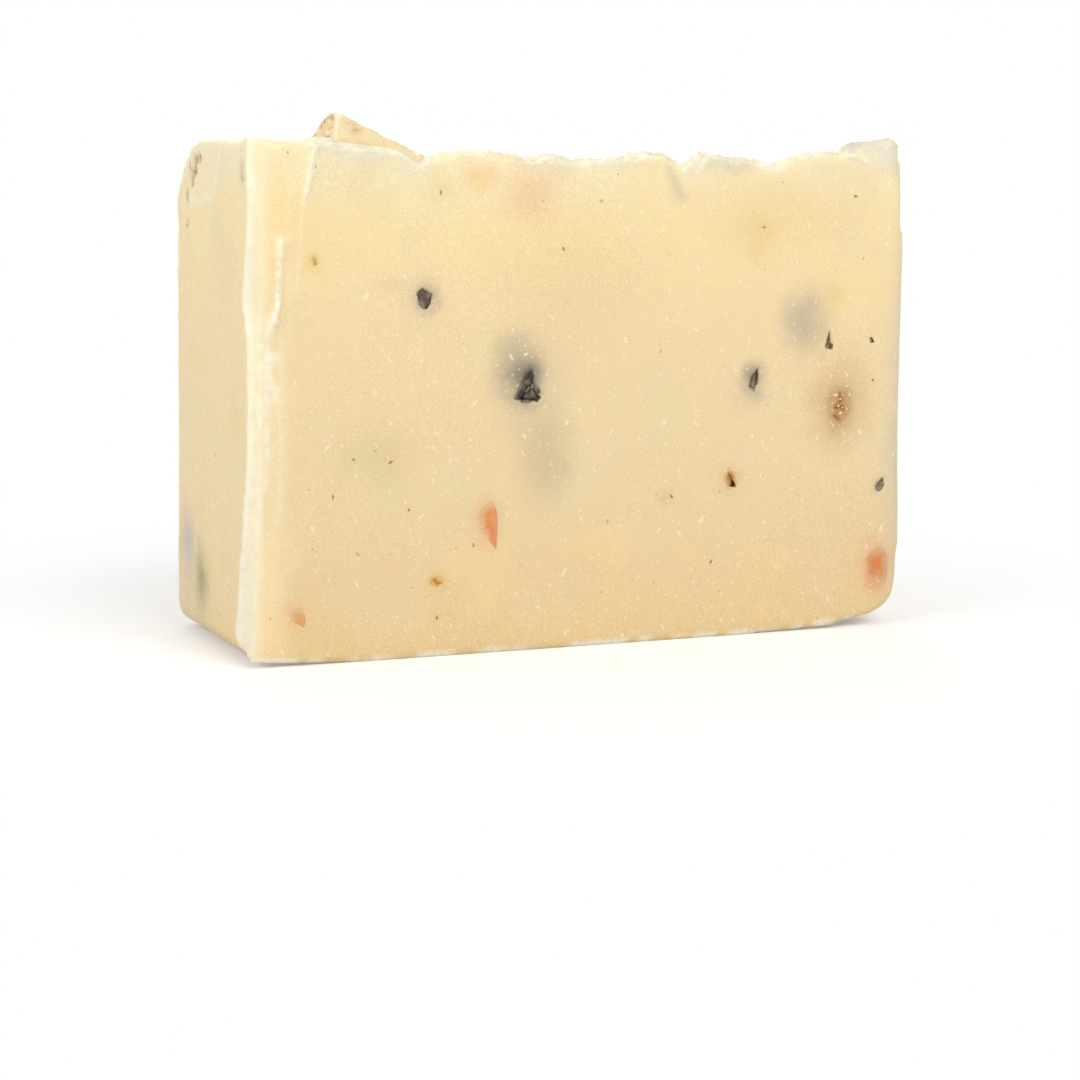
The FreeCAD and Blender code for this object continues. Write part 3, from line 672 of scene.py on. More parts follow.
def trim_edge(places, facing):
    """Cuts the upright edge at the front left along its wandering line, and gives its share of paleness and
    its bright stripe, both partly pale soap and partly painted highlight.
    """
    x, y, z = places.T
    wander_on_end, wander_on_front = TRIM_WANDER
    width = along_line(z, TRIM_ON_END) + ripples(places * [0, 0, 1], wander_on_end)
    across = along_line(z, TRIM_ON_FRONT) + ripples(places * [0, 0, 1], wander_on_front)
    front = FRONT + trim_front_depth(z)
    end = LEFT + END_SLANT * np.clip(z / RIM, 0, 1)
    # The direction straight out of the trim, and how far each point lies outside it
    size = np.hypot(width, across)
    out_x, out_y = -width / size, -across / size
    outside = (x - (end + across)) * out_x + (y - front) * out_y
    zone = (x < end + TRIM_ZONE[0]) & (y < front + TRIM_ZONE[1])
    middle, spread = TRIM_FACING
    angle = np.degrees(np.arctan2(-facing[:, 0], -facing[:, 1]))
    on_solid_trim = bell(angle - middle, spread) * (np.abs(facing[:, 2]) < 0.6) * (y < front + 4)
    move = np.where(outside > 0, outside, outside * (on_solid_trim > 0.5) * (outside > -2.0))
    move = np.where(zone, move, 0)
    trimmed = places.copy()
    trimmed[:, 0] = np.where(zone, np.maximum(x - move * out_x, np.minimum(x, end)), x)
    trimmed[:, 1] = np.where(zone, np.maximum(y - move * out_y, np.minimum(y, front)), y)
    from_front = (trimmed[:, 0] - end) / across
    from_end = (trimmed[:, 1] - front) / width
    ragged = ripples(places, TRIM_RAGGED)
    beside = 1 - soft_step(from_front + ragged, 0.75, 1.6)
    behind = 1 - soft_step(from_end + 0.3 * ragged, 0.86, 1.04)
    share = zone * beside * behind
    # The trimmed edge's bright stripe: pale soap with painted highlight
    low_part = 0.5 * (1 - soft_step(z, 18, 34))
    bright = share * np.maximum(soft_step(from_end - 0.5 * ragged, 0.35, 0.85), low_part)
    return trimmed, share, bright


def pleats(x, y):
    """Fine overlapping pleats of the poured top, as a depth below it."""
    flat = np.stack([x, y, np.zeros_like(x)], axis=1)
    phase = (x + PLEAT_SLANT * y + 1.6 * ripples(flat, PLEAT_WARP)) / PLEAT_STEP
    share = phase - np.floor(phase)
    rising = np.clip(share / PLEAT_RISE, 0, 1) ** 1.4
    falling = 1 - soft_step(share, PLEAT_RISE, 1.0)
    mask = soft_step(soft_noise(flat, 9.0, 33), -0.45, 0.35)
    return PLEAT_DEPTH * mask * (1 - rising * falling)


def solid_crest(x):
    """Level of the crest in the solid, from its own mesh."""
    return along_line(x, SOLID_CREST)


def front_share(facing, y):
    """1 where a point is on the front or on its rounded edges."""
    return soft_step(-facing[:, 1], 0.2, 0.6) * (y < FRONT + 4)


def read_solid_crest(mesh):
    """The crest of the solid's front edge, as X and Z."""
    places = places_of(mesh)
    edge = places[(np.abs(places[:, 1] - FRONT) < 0.01) & (places[:, 2] > RIM - 3.2)]
    edge = edge[np.argsort(edge[:, 0])]
    return [(x, z) for x, _, z in edge]


def shape_top(places):
    """Gives the poured top its fine pleats and ragged front crest."""
    x, y, z = places.T
    weight = soft_step(z, 53.0, 59.5)
    folded = soft_step(x, SLAB_END - 2, SLAB_END + 5)
    behind = np.maximum(y - FRONT, 0)
    crest = along_line(x, CREST_LINE) - solid_crest(x) + folded * ripples(places * [1, 1, 0], CREST_CRUMBLED)
    change = -folded * (1 - bell(behind, CREST_REACH)) * pleats(x, y)
    change = change + crest * bell(behind, CREST_WIDTH)
    change = change + END_LIFT * bell(np.maximum(x - LEFT, 0), 3.0)
    change = change + 0.06 * layered_noise(places, 1.8, 3, 42) * (0.4 + 0.6 * folded)
    shaped = places.copy()
    shaped[:, 2] = z + weight * change
    return shaped


def wear_corner(places):
    """Rounds the top's back corner at the left end inwards."""
    x, y, z = places.T
    near = bell(BACK - y, 7.0) * bell(x - LEFT, 6.0) * soft_step(z, 55.0, 63.0)
    worn = places.copy()
    worn[:, 0] += CORNER_WEAR * near
    return worn


def round_rim(places):
    """Rounds the front's top edge back, more in some places than in others."""
    x, y, z = places.T
    radius = np.clip(LIP_RADIUS + ripples(places * [1, 0, 0], LIP_SPREAD), 0.2, 2.0)
    crest = along_line(x, CREST_LINE)
    share = np.clip((z - (crest - radius)) / radius, 0, 1)
    back = radius * 0.8 * (1 - np.sqrt(np.maximum(1 - share * share, 0)))
    weight = bell(np.maximum(y - FRONT - 0.4, 0), 1.6)
    rounded = places.copy()
    rounded[:, 1] = y + back * weight
    return rounded


def raise_ridges(places, facing):
    """Raises the knife's lines on the front and on the left end, and gives their paleness, partly painted
    highlight along them.
    """
    raised, pale = places.copy(), np.zeros(len(places))
    faces = ((FRONT_RIDGES, [0, 2], 1, -facing[:, 1]), (END_RIDGES, [1, 2], 0, -facing[:, 0]))
    for ridges, flat, axis, towards in faces:
        on_face = soft_step(towards, 0.45, 0.8)
        wander = 0.16 * soft_noise(places, 1.4, 61)
        for ridge in ridges:
            distance = path_distance(places[:, flat], ridge.path) + wander
            strength = bell(distance, ridge.width) * on_face
            ragged = 0.75 + 0.45 * soft_noise(places, 0.8, 62)
            raised[:, axis] -= ridge.rise * strength * ragged
            pale = np.maximum(pale, strength * ridge.pale * ragged)
    return raised, pale


def dent_end(places, facing):
    """Pits and rough skin of the left end's upper back corner, their paleness, and how much darker the pits
    are, the more the deeper.
    """
    x, y, z = places.T
    on_end = soft_step(-facing[:, 0], 0.35, 0.75) * (x < LEFT + 4)
    above = z - along_line(y, ROUGH_BORDER)
    rough = on_end * soft_step(above, -0.3, 0.9) * (y > ROUGH_BORDER[0][0] - 0.2)
    streaks = soft_noise(places * [0, 1, 0.10], 0.8, 73) + 0.5 * soft_noise(places, 0.7, 74)
    dented = places.copy()
    dented[:, 0] += rough * (0.14 * layered_noise(places, 2.2, 3, 71) - 0.10 * streaks)
    pit_darkening = np.zeros(len(places))
    for pit_y, pit_z, radius, depth in END_PITS:
        distance = np.hypot(y - pit_y, 0.8 * (z - pit_z)) + 0.3 * radius * soft_noise(places, 0.8, 72)
        hole = on_end * (1 - soft_step(distance, 0.35 * radius, radius))
        dented[:, 0] += hole * depth
        # Darker in each pit, the more the deeper it is
        pit_darkening = np.maximum(pit_darkening, hole * min(depth / 0.5, 1.0))
    return dented, rough * soft_step(streaks, -0.5, 0.7), pit_darkening


def roughen(places, facing):
    """The low waves of hand-cut faces."""
    x, y, z = places.T
    waved = places + facing * ripples(places, FACE_WAVES)[:, None]
    on_front = soft_step(-facing[:, 1], 0.8, 0.97) * (y < FRONT + 1.2)
    waved[:, 1] = np.where(on_front > 0, y + on_front * front_wave(x, z), waved[:, 1])
    drag = 0.035 * soft_noise(places * [0, 1, 0.04], 0.7, 83) * soft_step(-facing[:, 0], 0.8, 0.97)
    bulge = RIGHT_BULGE * bell(z - BULGE_MIDDLE, BULGE_WIDTH) * soft_step(z, 0.3, 3.0)
    bulge = bulge * soft_step(facing[:, 0], 0.2, 0.7)
    waved[:, 0] += drag + bulge
    return waved


def press_dips(places):
    """Lets the soap dip to the chips that the front face cuts through."""
    pressed = places.copy()
    flat = places[:, [0, 2]]
    on_front = places[:, 1] < FRONT + 0.6
    for look in CHIP_LOOKS.values():
        depth = inside_distance(flat, OUTLINES[look.node]) + 0.10 * soft_noise(places, 0.45, 91)
        pressed[:, 1] += on_front * (look.sunk + 0.12) * soft_step(depth, -0.05, 0.38)
    return pressed


def keep_to_the_frame(places, before):
    """Keeps the base flat and every face within the solid's box."""
    kept = places.copy()
    kept[:, 2] = np.where(before[:, 2] < 0.25, before[:, 2], np.maximum(kept[:, 2], 0))
    kept[:, 0] = np.clip(kept[:, 0], LEFT - 0.1, RIGHT + RIGHT_BULGE)
    kept[:, 1] = np.clip(kept[:, 1], FRONT - 0.4, BACK + 0.1)
    return kept


def paleness(places, facing, trim, rough):
    """Where the skin of the soap is cream: the trimmed edge, partly painted highlight there, the rim, the top
    and scraped places.
    """
    x, y, z = places.T
    along = places * [1, 0, 0]
    band = np.maximum(0.9 + ripples(along, RIM_BAND), 0.25)
    band = band + sum(more * bell(x - middle, width) for more, middle, width in WIDER_RIM)
    rim = front_share(facing, y) * soft_step(z - (solid_crest(x) - band), -0.5, 0.5)
    rim = rim * (0.10 + 0.5 * soft_step(soft_noise(places * [1, 0, 1], 2.2, 105), 0.1, 0.6))
    top = soft_step(facing[:, 2], 0.35, 0.8) * (z > 50) * (0.35 + 0.25 * soft_noise(places, 3.0, 103))
    flap = soft_step(x, *FLAP_START) * soft_step(z, 60.0, 62.0)
    return strongest(trim, rim * (1 - flap), top * (1 - 0.8 * flap), 0.8 * rough)


def whiteness_and_highlight(places, facing, bright, ridges):
    """Where the soap is almost white: pale soap on the lip of the crest and on scrapes, painted highlight
    along the foot, and pale soap with painted highlight on the trimmed edge and the ridges.
    """
    x, y, z = places.T
    flat, on_front = places * [1, 0, 1], front_share(facing, y)
    lip = solid_crest(x) - 0.60 + 0.50 * soft_noise(flat, 0.9, 106)
    patchy = soft_step(soft_noise(flat, 1.7, 107), -0.35, 0.25)
    rim = on_front * soft_step(z - lip, -0.15, 0.2) * patchy
    rim = rim * (x > -36) * (1 - 0.8 * soft_step(x, 34, 36))
    # Painted highlight along the foot
    foot = on_front * (1 - soft_step(z - solid_foot(x), 0.35, 1.10))
    foot = foot * soft_step(soft_noise(places * [1, 0, 0], 1.6, 108), -0.6, 0.5)
    low, high, reach, middle = SCRAPED
    scraped = bell(x - middle, reach) * soft_step(z, low, low + 7) * (1 - soft_step(z, high, high + 4))
    scraped = on_front * scraped * soft_step(soft_noise(places, 1.1, 104), -0.1, 0.3)
    return strongest(bright * 0.8, ridges, rim * 0.8, foot * 0.95, scraped * 0.8)


def clouds(places):
    """The clouds' colour at each point, weighed, and the share of the soap's own colour that is left. Some of
    the clouds are painted shade.
    """
    wander = [ripples(places, [(1, 2.6, seed), (0.4, 0.9, seed)]) for seed in (141, 142, 143)]
    wandered = places + 0.75 * np.stack(wander, axis=1)
    colour, left = np.zeros((len(places), 3)), np.ones(len(places))
    for haze in map(Haze._make, HAZES_AND_SHADE):
        away = (wandered - [haze.x, haze.y, haze.z]) / [haze.wide, haze.deep, haze.high]
        share = haze.strength * (1 - soft_step(np.linalg.norm(away, axis=1), 0, 1))
        colour = colour * (1 - share[:, None]) + share[:, None] * np.array(linear(haze.colour)[:3])
        left = left * (1 - share)
    return colour, left


def set_clouds(mesh, places):
    """Keeps the clouds at each point, some of them painted shade, for the material."""
    colour, left = clouds(places)
    attribute = mesh.attributes.new("clouds", "FLOAT_COLOR", "POINT")
    attribute.data.foreach_set("color", np.column_stack([colour, left]).astype(np.float32).ravel())


def rounding(past, radius):
    """How far a rounded corner has risen at a distance past its start."""
    return radius * (1 - np.sqrt(np.clip(1 - np.clip(past / radius, 0, 1) ** 2, 0, 1)))


def solid_foot(x):
    """Height of the front face's lower edge over the base."""
    left = 0.5 * soft_step(-x, -(LEFT + 13.0), -LEFT) + rounding(LEFT + 3.0 - x, 3.0)
    right = 0.8 * soft_step(x, RIGHT - 21.0, RIGHT - 5.5) + rounding(x - RIGHT + 5.5, 5.5)
    return left + right


def body_mesh():
    """The bar itself."""
    solid = solid_copy("soap_block")
    SOLID_CREST.extend(read_solid_crest(solid))
    close_front(solid)
    mesh = even_mesh(solid, BODY_VOXEL)
    refine(mesh, fine_area)
    refine(mesh, finest_area)
    soften(mesh, TOP_SMOOTHING, on_the_top)
    soften(mesh, FOOT_SMOOTHING, on_the_foot, across=False)
    before, facing = places_of(mesh), facing_of(mesh)
    places, trim, bright = trim_edge(before, facing)
    places = shape_top(places)
    places = wear_corner(places)
    places = round_rim(places)
    places, ridges = raise_ridges(places, facing)
    places, rough, pit_darkening = dent_end(places, facing)
    places = roughen(places, facing)
    places = press_dips(places)
    set_places(mesh, keep_to_the_frame(places, before))
    set_share(mesh, "pale", paleness(before, facing, trim, rough))
    # Almost white: pale soap, with painted highlight on the trimmed edge, the ridges and the foot
    set_share(mesh, "white", whiteness_and_highlight(before, facing, bright, ridges))
    set_share(mesh, "pit_darkening", pit_darkening)
    set_clouds(mesh, before)
    return mesh


def chip_mesh(look):
    """A chip with a rough face, and how far soap covers it and where it is darkest."""
    mesh = even_mesh(solid_copy(look.node), CHIP_VOXEL)
    places = places_of(mesh)
    places[:, [0, 2]] = grown(places[:, [0, 2]], look.node)
    x, y, z = places.T
    flat = places[:, [0, 2]]
    outline = np.array(OUTLINES[look.node])
    middle, size = (outline.max(axis=0) + outline.min(axis=0)) / 2, np.ptp(outline, axis=0)
    depth = inside_distance(flat, OUTLINES[look.node])
    depth = depth + ripples(places, CHIP_RAGGED) * min(1.0, (size.min() / SMOOTH_BELOW) ** 2)
    on_face = 1 - soft_step(y, FRONT + 0.1, FRONT + 0.9)
    relief = look.relief * layered_noise(places * [1, 0.2, 1], 0.8, 2, 112) + look.sunk * 0.55
    # The dark strokes, drawn as shares of the outline's size
    strokes = np.zeros(len(places))
    for stroke in look.strokes:
        path = [tuple(middle + np.array(point) * size) for point in stroke]
        away = path_distance(flat, path) + 0.10 * soft_noise(places, 0.5, 113)
        strokes = np.maximum(strokes, bell(away, look.stroke_width))
    places[:, 1] = y + on_face * (relief + look.relief * 1.2 * strokes) + front_wave(x, z) * on_face
    set_places(mesh, places)
    cover = 1 - soft_step(depth, -0.05, look.soft)
    if look.clear is not None:
        turn = math.radians(look.clear)
        side = (flat - middle) @ np.array([math.cos(turn), math.sin(turn)]) / (size.min() / 2)
        cover = cover * (1 - CLEARED * soft_step(side, -0.1, 0.5))
    if look.slot == "charcoal_soap":
        crevice = bell(depth - look.soft * 0.6, 0.16) * soft_step(soft_noise(places, 0.6, 115), -0.3, 0.3)
        strokes = np.maximum(strokes, 0.7 * crevice)
    set_share(mesh, "cover", np.maximum(cover, look.veil) * (1 - 0.85 * strokes))
    set_share(mesh, "stroke", strokes)
    set_clouds(mesh, places)
    return mesh


def chunk_mesh():
    """The broken chunk in the top, smooth in front and crumbly on its left and along its ridge."""
    mesh = even_mesh(solid_copy("top_chunk"), CHUNK_VOXEL)
    places, facing = places_of(mesh), facing_of(mesh)
    x, y, z = places.T
    ridge = soft_step(facing[:, 2], 0.3, 0.7)
    back = soft_step(facing[:, 1], 0.3, 0.7)
    left_face = soft_step(-facing[:, 0], 0.35, 0.75) * (x < -30)
    corner = CHUNK_CORNER_FOOT[0] + (z - CHUNK_CORNER_FOOT[1]) * CHUNK_CORNER_SLANT
    past = np.maximum(corner - x, 0)
    broken = np.maximum(left_face, soft_step(past, 0.0, 0.3)) * (1 - 0.5 * back)
    rough = strongest(left_face, 0.4 * ridge, 0.3 * back, broken)
    shift = CHUNK_CRUMBLE * layered_noise(places, 1.3, 3, 121) * rough + 0.04 * soft_noise(places, 1.5, 122)
    shaped = places + facing * shift[:, None]
    in_front = 1 - soft_step(y, CHUNK_FRONT, CHUNK_FRONT + CHUNK_DEPTH)
    shaped[:, 1] += CHUNK_BREAK * past * in_front
    left_side = (1 - soft_step(x, -34.4, -32.2)) * soft_step(z, 62.0, 63.5)
    shaped[:, 0] += left_side * (0.7 - 0.25 * (z - 64.0))
    peak, lift = CHUNK_PEAK
    shaped[:, 2] += lift * bell(x - peak, 0.9) * soft_step(z, 65.5, 67.0)
    set_places(mesh, shaped)
    crumbly_spot = bell(np.hypot((x - CHUNK_SPOT[0]) * 0.7, z - CHUNK_SPOT[1]), 0.7)
    # How far each point lies under the top of its own column
    columns = np.round(x / CHUNK_VOXEL).astype(int) - round(x.min() / CHUNK_VOXEL)
    tops = np.zeros(columns.max() + 1)
    np.maximum.at(tops, np.maximum(columns, 0), z)
    below = tops[np.maximum(columns, 0)] - z + 0.2 * soft_noise(places, 0.7, 123)
    slope = np.maximum(ridge, bell(np.maximum(below, 0), 0.35)) * soft_step(x, -31.0, -28.0)
    set_share(mesh, "broken", strongest(broken, 0.3 * ridge, crumbly_spot, 0.85 * slope * in_front))
    set_share(mesh, "border", bell(corner + 0.30 - x, 0.26) * in_front * soft_step(-facing[:, 1], 0.3, 0.8))
    return mesh


def linear(colour):
    """An sRGB colour of three whole numbers, as Blender writes it."""
    parts = [value / 255 for value in colour]
    parts = [p / 12.92 if p <= 0.04045 else ((p + 0.055) / 1.055) ** 2.4 for p in parts]
    return (*parts, 1.0)


def add(tree, kind, inputs=None, **settings):
    """A new node. Each input is another node's output or a plain value."""
    node = tree.nodes.new(kind)
    for name, value in settings.items():
        setattr(node, name, value)
    for key, value in (inputs or {}).items():
        if isinstance(value, bpy.types.NodeSocket):
            tree.links.new(value, node.inputs[key])
        else:
            node.inputs[key].default_value = value
    return node


def maths(tree, operation, *values):
    """The result of one step with numbers."""
    return add(tree, "ShaderNodeMath", dict(enumerate(values)), operation=operation).outputs[0]


def vector(tree, operation, inputs):
    """The result of one step with vectors."""
    return add(tree, "ShaderNodeVectorMath", inputs, operation=operation).outputs[0]


def blend(tree, share, *colours):
    """A mix of two colours, each an sRGB colour or another node's output."""
    first, second = (linear(each) if isinstance(each, tuple) else each for each in colours)
    return add(tree, "ShaderNodeMix", {0: share, 6: first, 7: second}, data_type="RGBA").outputs[2]


def step_between(tree, value, low, high, start=0.0, end=1.0):
    """A smooth step of a value, from start at low to end at high."""
    inputs = {"Value": value, "From Min": low, "From Max": high, "To Min": start, "To Max": end}
    return add(tree, "ShaderNodeMapRange", inputs, interpolation_type="SMOOTHSTEP").outputs[0]


def stretched(tree, places, scale):
    """Places with another scale along each axis."""
    return add(tree, "ShaderNodeMapping", {"Vector": places, "Scale": scale}).outputs[0]


def noise(tree, places, size, detail=2.0, distortion=0.0):
    """Noise with grains of a size in millimetres."""
    inputs = {"Vector": places, "Scale": 1 / size, "Detail": detail, "Distortion": distortion}
    return add(tree, "ShaderNodeTexNoise", inputs)


def flecks(tree, places, cell, share, size, slant, seed, strength):
    """Small slanted flecks on every face, each in a cell of its own, for a share of the cells."""
    x, y, z = add(tree, "ShaderNodeSeparateXYZ", {0: places}).outputs
    along = maths(tree, "ADD", maths(tree, "ADD", x, y), seed)
    up = maths(tree, "MULTIPLY_ADD", maths(tree, "SUBTRACT", x, y), slant, z)
    flat = add(tree, "ShaderNodeCombineXYZ", {0: along, 1: up}).outputs[0]
    cells = {"Vector": flat, "Scale": 1 / cell, "Randomness": 1.0}
    cells = add(tree, "ShaderNodeTexVoronoi", cells, voronoi_dimensions="2D").outputs
    chance = add(tree, "ShaderNodeSeparateColor", {0: cells["Color"]}).outputs
    there = maths(tree, "GREATER_THAN", chance[0], 1 - share)
    close = maths(tree, "SUBTRACT", maths(tree, "MULTIPLY", chance[1], size / cell), cells["Distance"])
    spot = maths(tree, "MULTIPLY", step_between(tree, close, 0.0, 0.30 * size / cell), there)
    return maths(tree, "MULTIPLY", spot, strength)


def height_ramp(tree, height):
    """The soap's colour at a share of its height: darker towards the base and lighter towards the top, partly
    its own tone and partly painted light and shade.
    """
    ramp = add(tree, "ShaderNodeValToRGB", {0: height})
    stops = ramp.color_ramp.elements
    while len(stops) < len(SOAP_AND_SHADING_BY_HEIGHT):
        stops.new(0.5)
    for stop, (place, colour) in zip(stops, SOAP_AND_SHADING_BY_HEIGHT):
        stop.position, stop.color = place, linear(colour)
    return ramp.outputs["Color"]


def ragged_places(tree, places, size, reach):
    """Places moved about by noise, so that what is drawn at them gets a ragged edge."""
    moved = vector(tree, "SUBTRACT", {0: noise(tree, places, size, 1.0).outputs["Color"], 1: (0.5, 0.5, 0.5)})
    return vector(tree, "MULTIPLY_ADD", {0: moved, 1: (2 * reach, 2 * reach, 2 * reach), 2: places})


def soap_colour_group():
    """The soap's colour at a place in millimetres: gradient, partly painted light and shade, clouds, some of
    them painted shade, grain and pale flecks.
    """
    tree = bpy.data.node_groups.new("Soap colour", "ShaderNodeTree")
    tree.interface.new_socket("Places", in_out="INPUT", socket_type="NodeSocketVector")
    tree.interface.new_socket("Colour", in_out="OUTPUT", socket_type="NodeSocketColor")
    tree.interface.new_socket("Flecks", in_out="OUTPUT", socket_type="NodeSocketFloat")
    places = tree.nodes.new("NodeGroupInput").outputs["Places"]
    drift = maths(tree, "SUBTRACT", noise(tree, places, 14.0, 2.0).outputs["Fac"], 0.5)
    height = add(tree, "ShaderNodeSeparateXYZ", {0: places}).outputs["Z"]
    height = maths(tree, "MULTIPLY_ADD", drift, 0.12, maths(tree, "DIVIDE", height, RIM))
    # Partly painted shade towards the base and painted light towards the top
    colour = height_ramp(tree, height)
    cloud = noise(tree, places, 9.0, 3.0, 0.6).outputs["Fac"]
    colour = blend(tree, step_between(tree, cloud, 0.52, 0.72, 0.0, 0.35), colour, CLOUDS[0])
    colour = blend(tree, step_between(tree, cloud, 0.48, 0.30, 0.0, 0.35), colour, CLOUDS[1])
    # Clouds where chips shine through, and painted shade under the crest's lip and on the flap
    chips = add(tree, "ShaderNodeAttribute", attribute_name="clouds").outputs
    left = add(tree, "ShaderNodeCombineXYZ", {axis: chips["Alpha"] for axis in range(3)}).outputs[0]
    colour = vector(tree, "MULTIPLY_ADD", {0: colour, 1: left, 2: chips["Vector"]})
    grain = noise(tree, places, 0.16, 1.0).outputs["Fac"]
    light = step_between(tree, grain, 0.25, 0.75, 0.93, 1.07)
    colour = vector(tree, "SCALE", {0: colour, "Scale": light})
    ragged = ragged_places(tree, places, 0.40, 0.22)
    pale = flecks(tree, ragged, *PALE_FLECKS[0])
    for layer in PALE_FLECKS[1:]:
        pale = maths(tree, "MAXIMUM", pale, flecks(tree, ragged, *layer))
    colour = blend(tree, pale, colour, PALE_FLECK)
    colour = blend(tree, flecks(tree, ragged, *BROWN_FLECKS), colour, BROWN_FLECK)
    add(tree, "NodeGroupOutput", {"Colour": colour, "Flecks": pale})
    return tree


def empty_tree(owner):
    """The node tree of a material or a world, with nothing in it."""
    owner.use_nodes = True
    owner.node_tree.nodes.clear()
    return owner.node_tree


def new_material(name):
    """An empty material with its shader, its tree and its places in millimetres."""
    material = bpy.data.materials.new(name)
    tree = empty_tree(material)
    shader = add(tree, "ShaderNodeBsdfPrincipled")
    add(tree, "ShaderNodeOutputMaterial", {"Surface": shader.outputs[0]})
    own = add(tree, "ShaderNodeTexCoord").outputs["Object"]
    return material, tree, shader, stretched(tree, own, (1 / MM, 1 / MM, 1 / MM))


def soap_at(tree, places):
    """The soap's colour and pale flecks at each place."""
    node = add(tree, "ShaderNodeGroup", node_tree=SOAP_COLOUR)
    tree.links.new(places, node.inputs[0])
    return node.outputs


def share_of(tree, name):
    """A number kept at each point of the mesh."""
    return add(tree, "ShaderNodeAttribute", attribute_name=name).outputs["Fac"]


def roughened(tree, shader, places, size, low, high):
    """A roughness that wanders between two values, with patches of a size in millimetres."""
    fac = noise(tree, places, size, 3.0).outputs["Fac"]
    tree.links.new(step_between(tree, fac, 0.3, 0.7, low, high), shader.inputs["Roughness"])


def bumped(tree, shader, height, distance):
    """Small relief, with its height in millimetres."""
    bump = add(tree, "ShaderNodeBump", {"Height": height, "Distance": distance * MM, "Strength": 1.0})
    tree.links.new(bump.outputs[0], shader.inputs["Normal"])


def coat(tree, shader, colour, gloss=0.5, wax=0.0, depth=1.0):
    """The shader's colour and gloss, and how much light goes in, to a depth in millimetres."""
    tree.links.new(colour, shader.inputs["Base Color"])
    shader.inputs["Specular IOR Level"].default_value = gloss
    shader.inputs["Subsurface Weight"].default_value = wax
    shader.inputs["Subsurface Radius"].default_value = (1.0, 0.55, 0.25)
    shader.inputs["Subsurface Scale"].default_value = depth * MM


def soap_material():
    """The bar's own soap."""
    material, tree, shader, places = new_material("Handmade soap")
    soap = soap_at(tree, places)
    patchy = noise(tree, places, 0.7, 3.0).outputs["Fac"]
    colour, shares = soap["Colour"], {}
    # The white skin carries painted highlight on the trimmed edge, the ridges and the foot
    for name, (skin, *patches) in SKINS.items():
        shares[name] = maths(tree, "MULTIPLY", share_of(tree, name), step_between(tree, patchy, *patches))
        colour = blend(tree, shares[name], colour, skin)
    roughened(tree, shader, places, 2.2, 0.40, 0.56)
    fine = noise(tree, places, 0.26, 2.0).outputs["Fac"]
    drawn = noise(tree, stretched(tree, places, (1.0, 1.0, 0.05)), 0.5, 2.0).outputs["Fac"]
    height = maths(tree, "MULTIPLY_ADD", fine, 0.5, maths(tree, "MULTIPLY", drawn, 0.5))
    height = maths(tree, "MULTIPLY_ADD", soap["Flecks"], 0.7, height)
    bumped(tree, shader, maths(tree, "MULTIPLY_ADD", shares["white"], patchy, height), 0.06)
    coat(tree, shader, colour, 0.38, 0.35, 3.0)
    return material


def chip_material(name, main, second, stroke, smooth):
    """Older soap: two mixed colours, darker strokes, and the bar's soap where it covers the edge."""
    material, tree, shader, places = new_material(name)
    mix = noise(tree, places, 1.1, 3.0, 0.5).outputs["Fac"]
    colour = blend(tree, step_between(tree, mix, 0.42, 0.58), main, second)
    colour = blend(tree, share_of(tree, "stroke"), colour, stroke)
    patchy = noise(tree, places, 0.35, 2.0).outputs["Fac"]
    cover = maths(tree, "MULTIPLY", share_of(tree, "cover"), step_between(tree, patchy, 0.2, 0.6, 0.85, 1.0))
    colour = blend(tree, cover, colour, soap_at(tree, places)["Colour"])
    roughened(tree, shader, places, 0.6, smooth, smooth + 0.2)
    bumped(tree, shader, patchy, 0.06)
    coat(tree, shader, colour, 0.08, 0.0, 3.0)
    tree.links.new(maths(tree, "MULTIPLY", cover, 0.35), shader.inputs["Subsurface Weight"])
    return material


def chunk_material():
    """The tan soap of the chunk, with reddish brown crumbs where it broke."""
    material, tree, shader, places = new_material("Tan soap chunk")
    cloud = noise(tree, places, 4.0, 3.0).outputs["Fac"]
    colour = blend(tree, step_between(tree, cloud, 0.35, 0.65), *TANS)
    grain = noise(tree, places, 0.3, 2.0).outputs["Fac"]
    colour = blend(tree, step_between(tree, grain, 0.55, 0.75, 0.0, 0.35), colour, TAN_GRAIN)
    crumbs = noise(tree, places, 0.8, 3.0, 0.4).outputs["Fac"]
    broken = share_of(tree, "broken")
    brown = maths(tree, "MULTIPLY", broken, step_between(tree, crumbs, 0.52, 0.66, 0.0, 0.8))
    colour = blend(tree, maths(tree, "MULTIPLY", broken, 0.7), colour, CRUMBLED[0])
    colour = blend(tree, brown, colour, CRUMBLED[1])
    white = maths(tree, "MULTIPLY", broken, step_between(tree, crumbs, 0.42, 0.32))
    colour = blend(tree, white, colour, CRUMBLED[2])
    ragged = ragged_places(tree, places, 0.4, 0.2)
    colour = blend(tree, flecks(tree, ragged, *CHUNK_BROWN_FLECKS), colour, TAN_FLECKS[0])
    colour = blend(tree, flecks(tree, ragged, *CHUNK_PALE_FLECKS), colour, TAN_FLECKS[1])
    colour = blend(tree, maths(tree, "MULTIPLY", share_of(tree, "border"), 0.85), colour, TAN_BORDER)
    roughened(tree, shader, places, 1.0, 0.45, 0.62)
    bumped(tree, shader, maths(tree, "ADD", grain, crumbs), 0.07)
    coat(tree, shader, colour, 0.35, 0.25, 2.0)
    return material


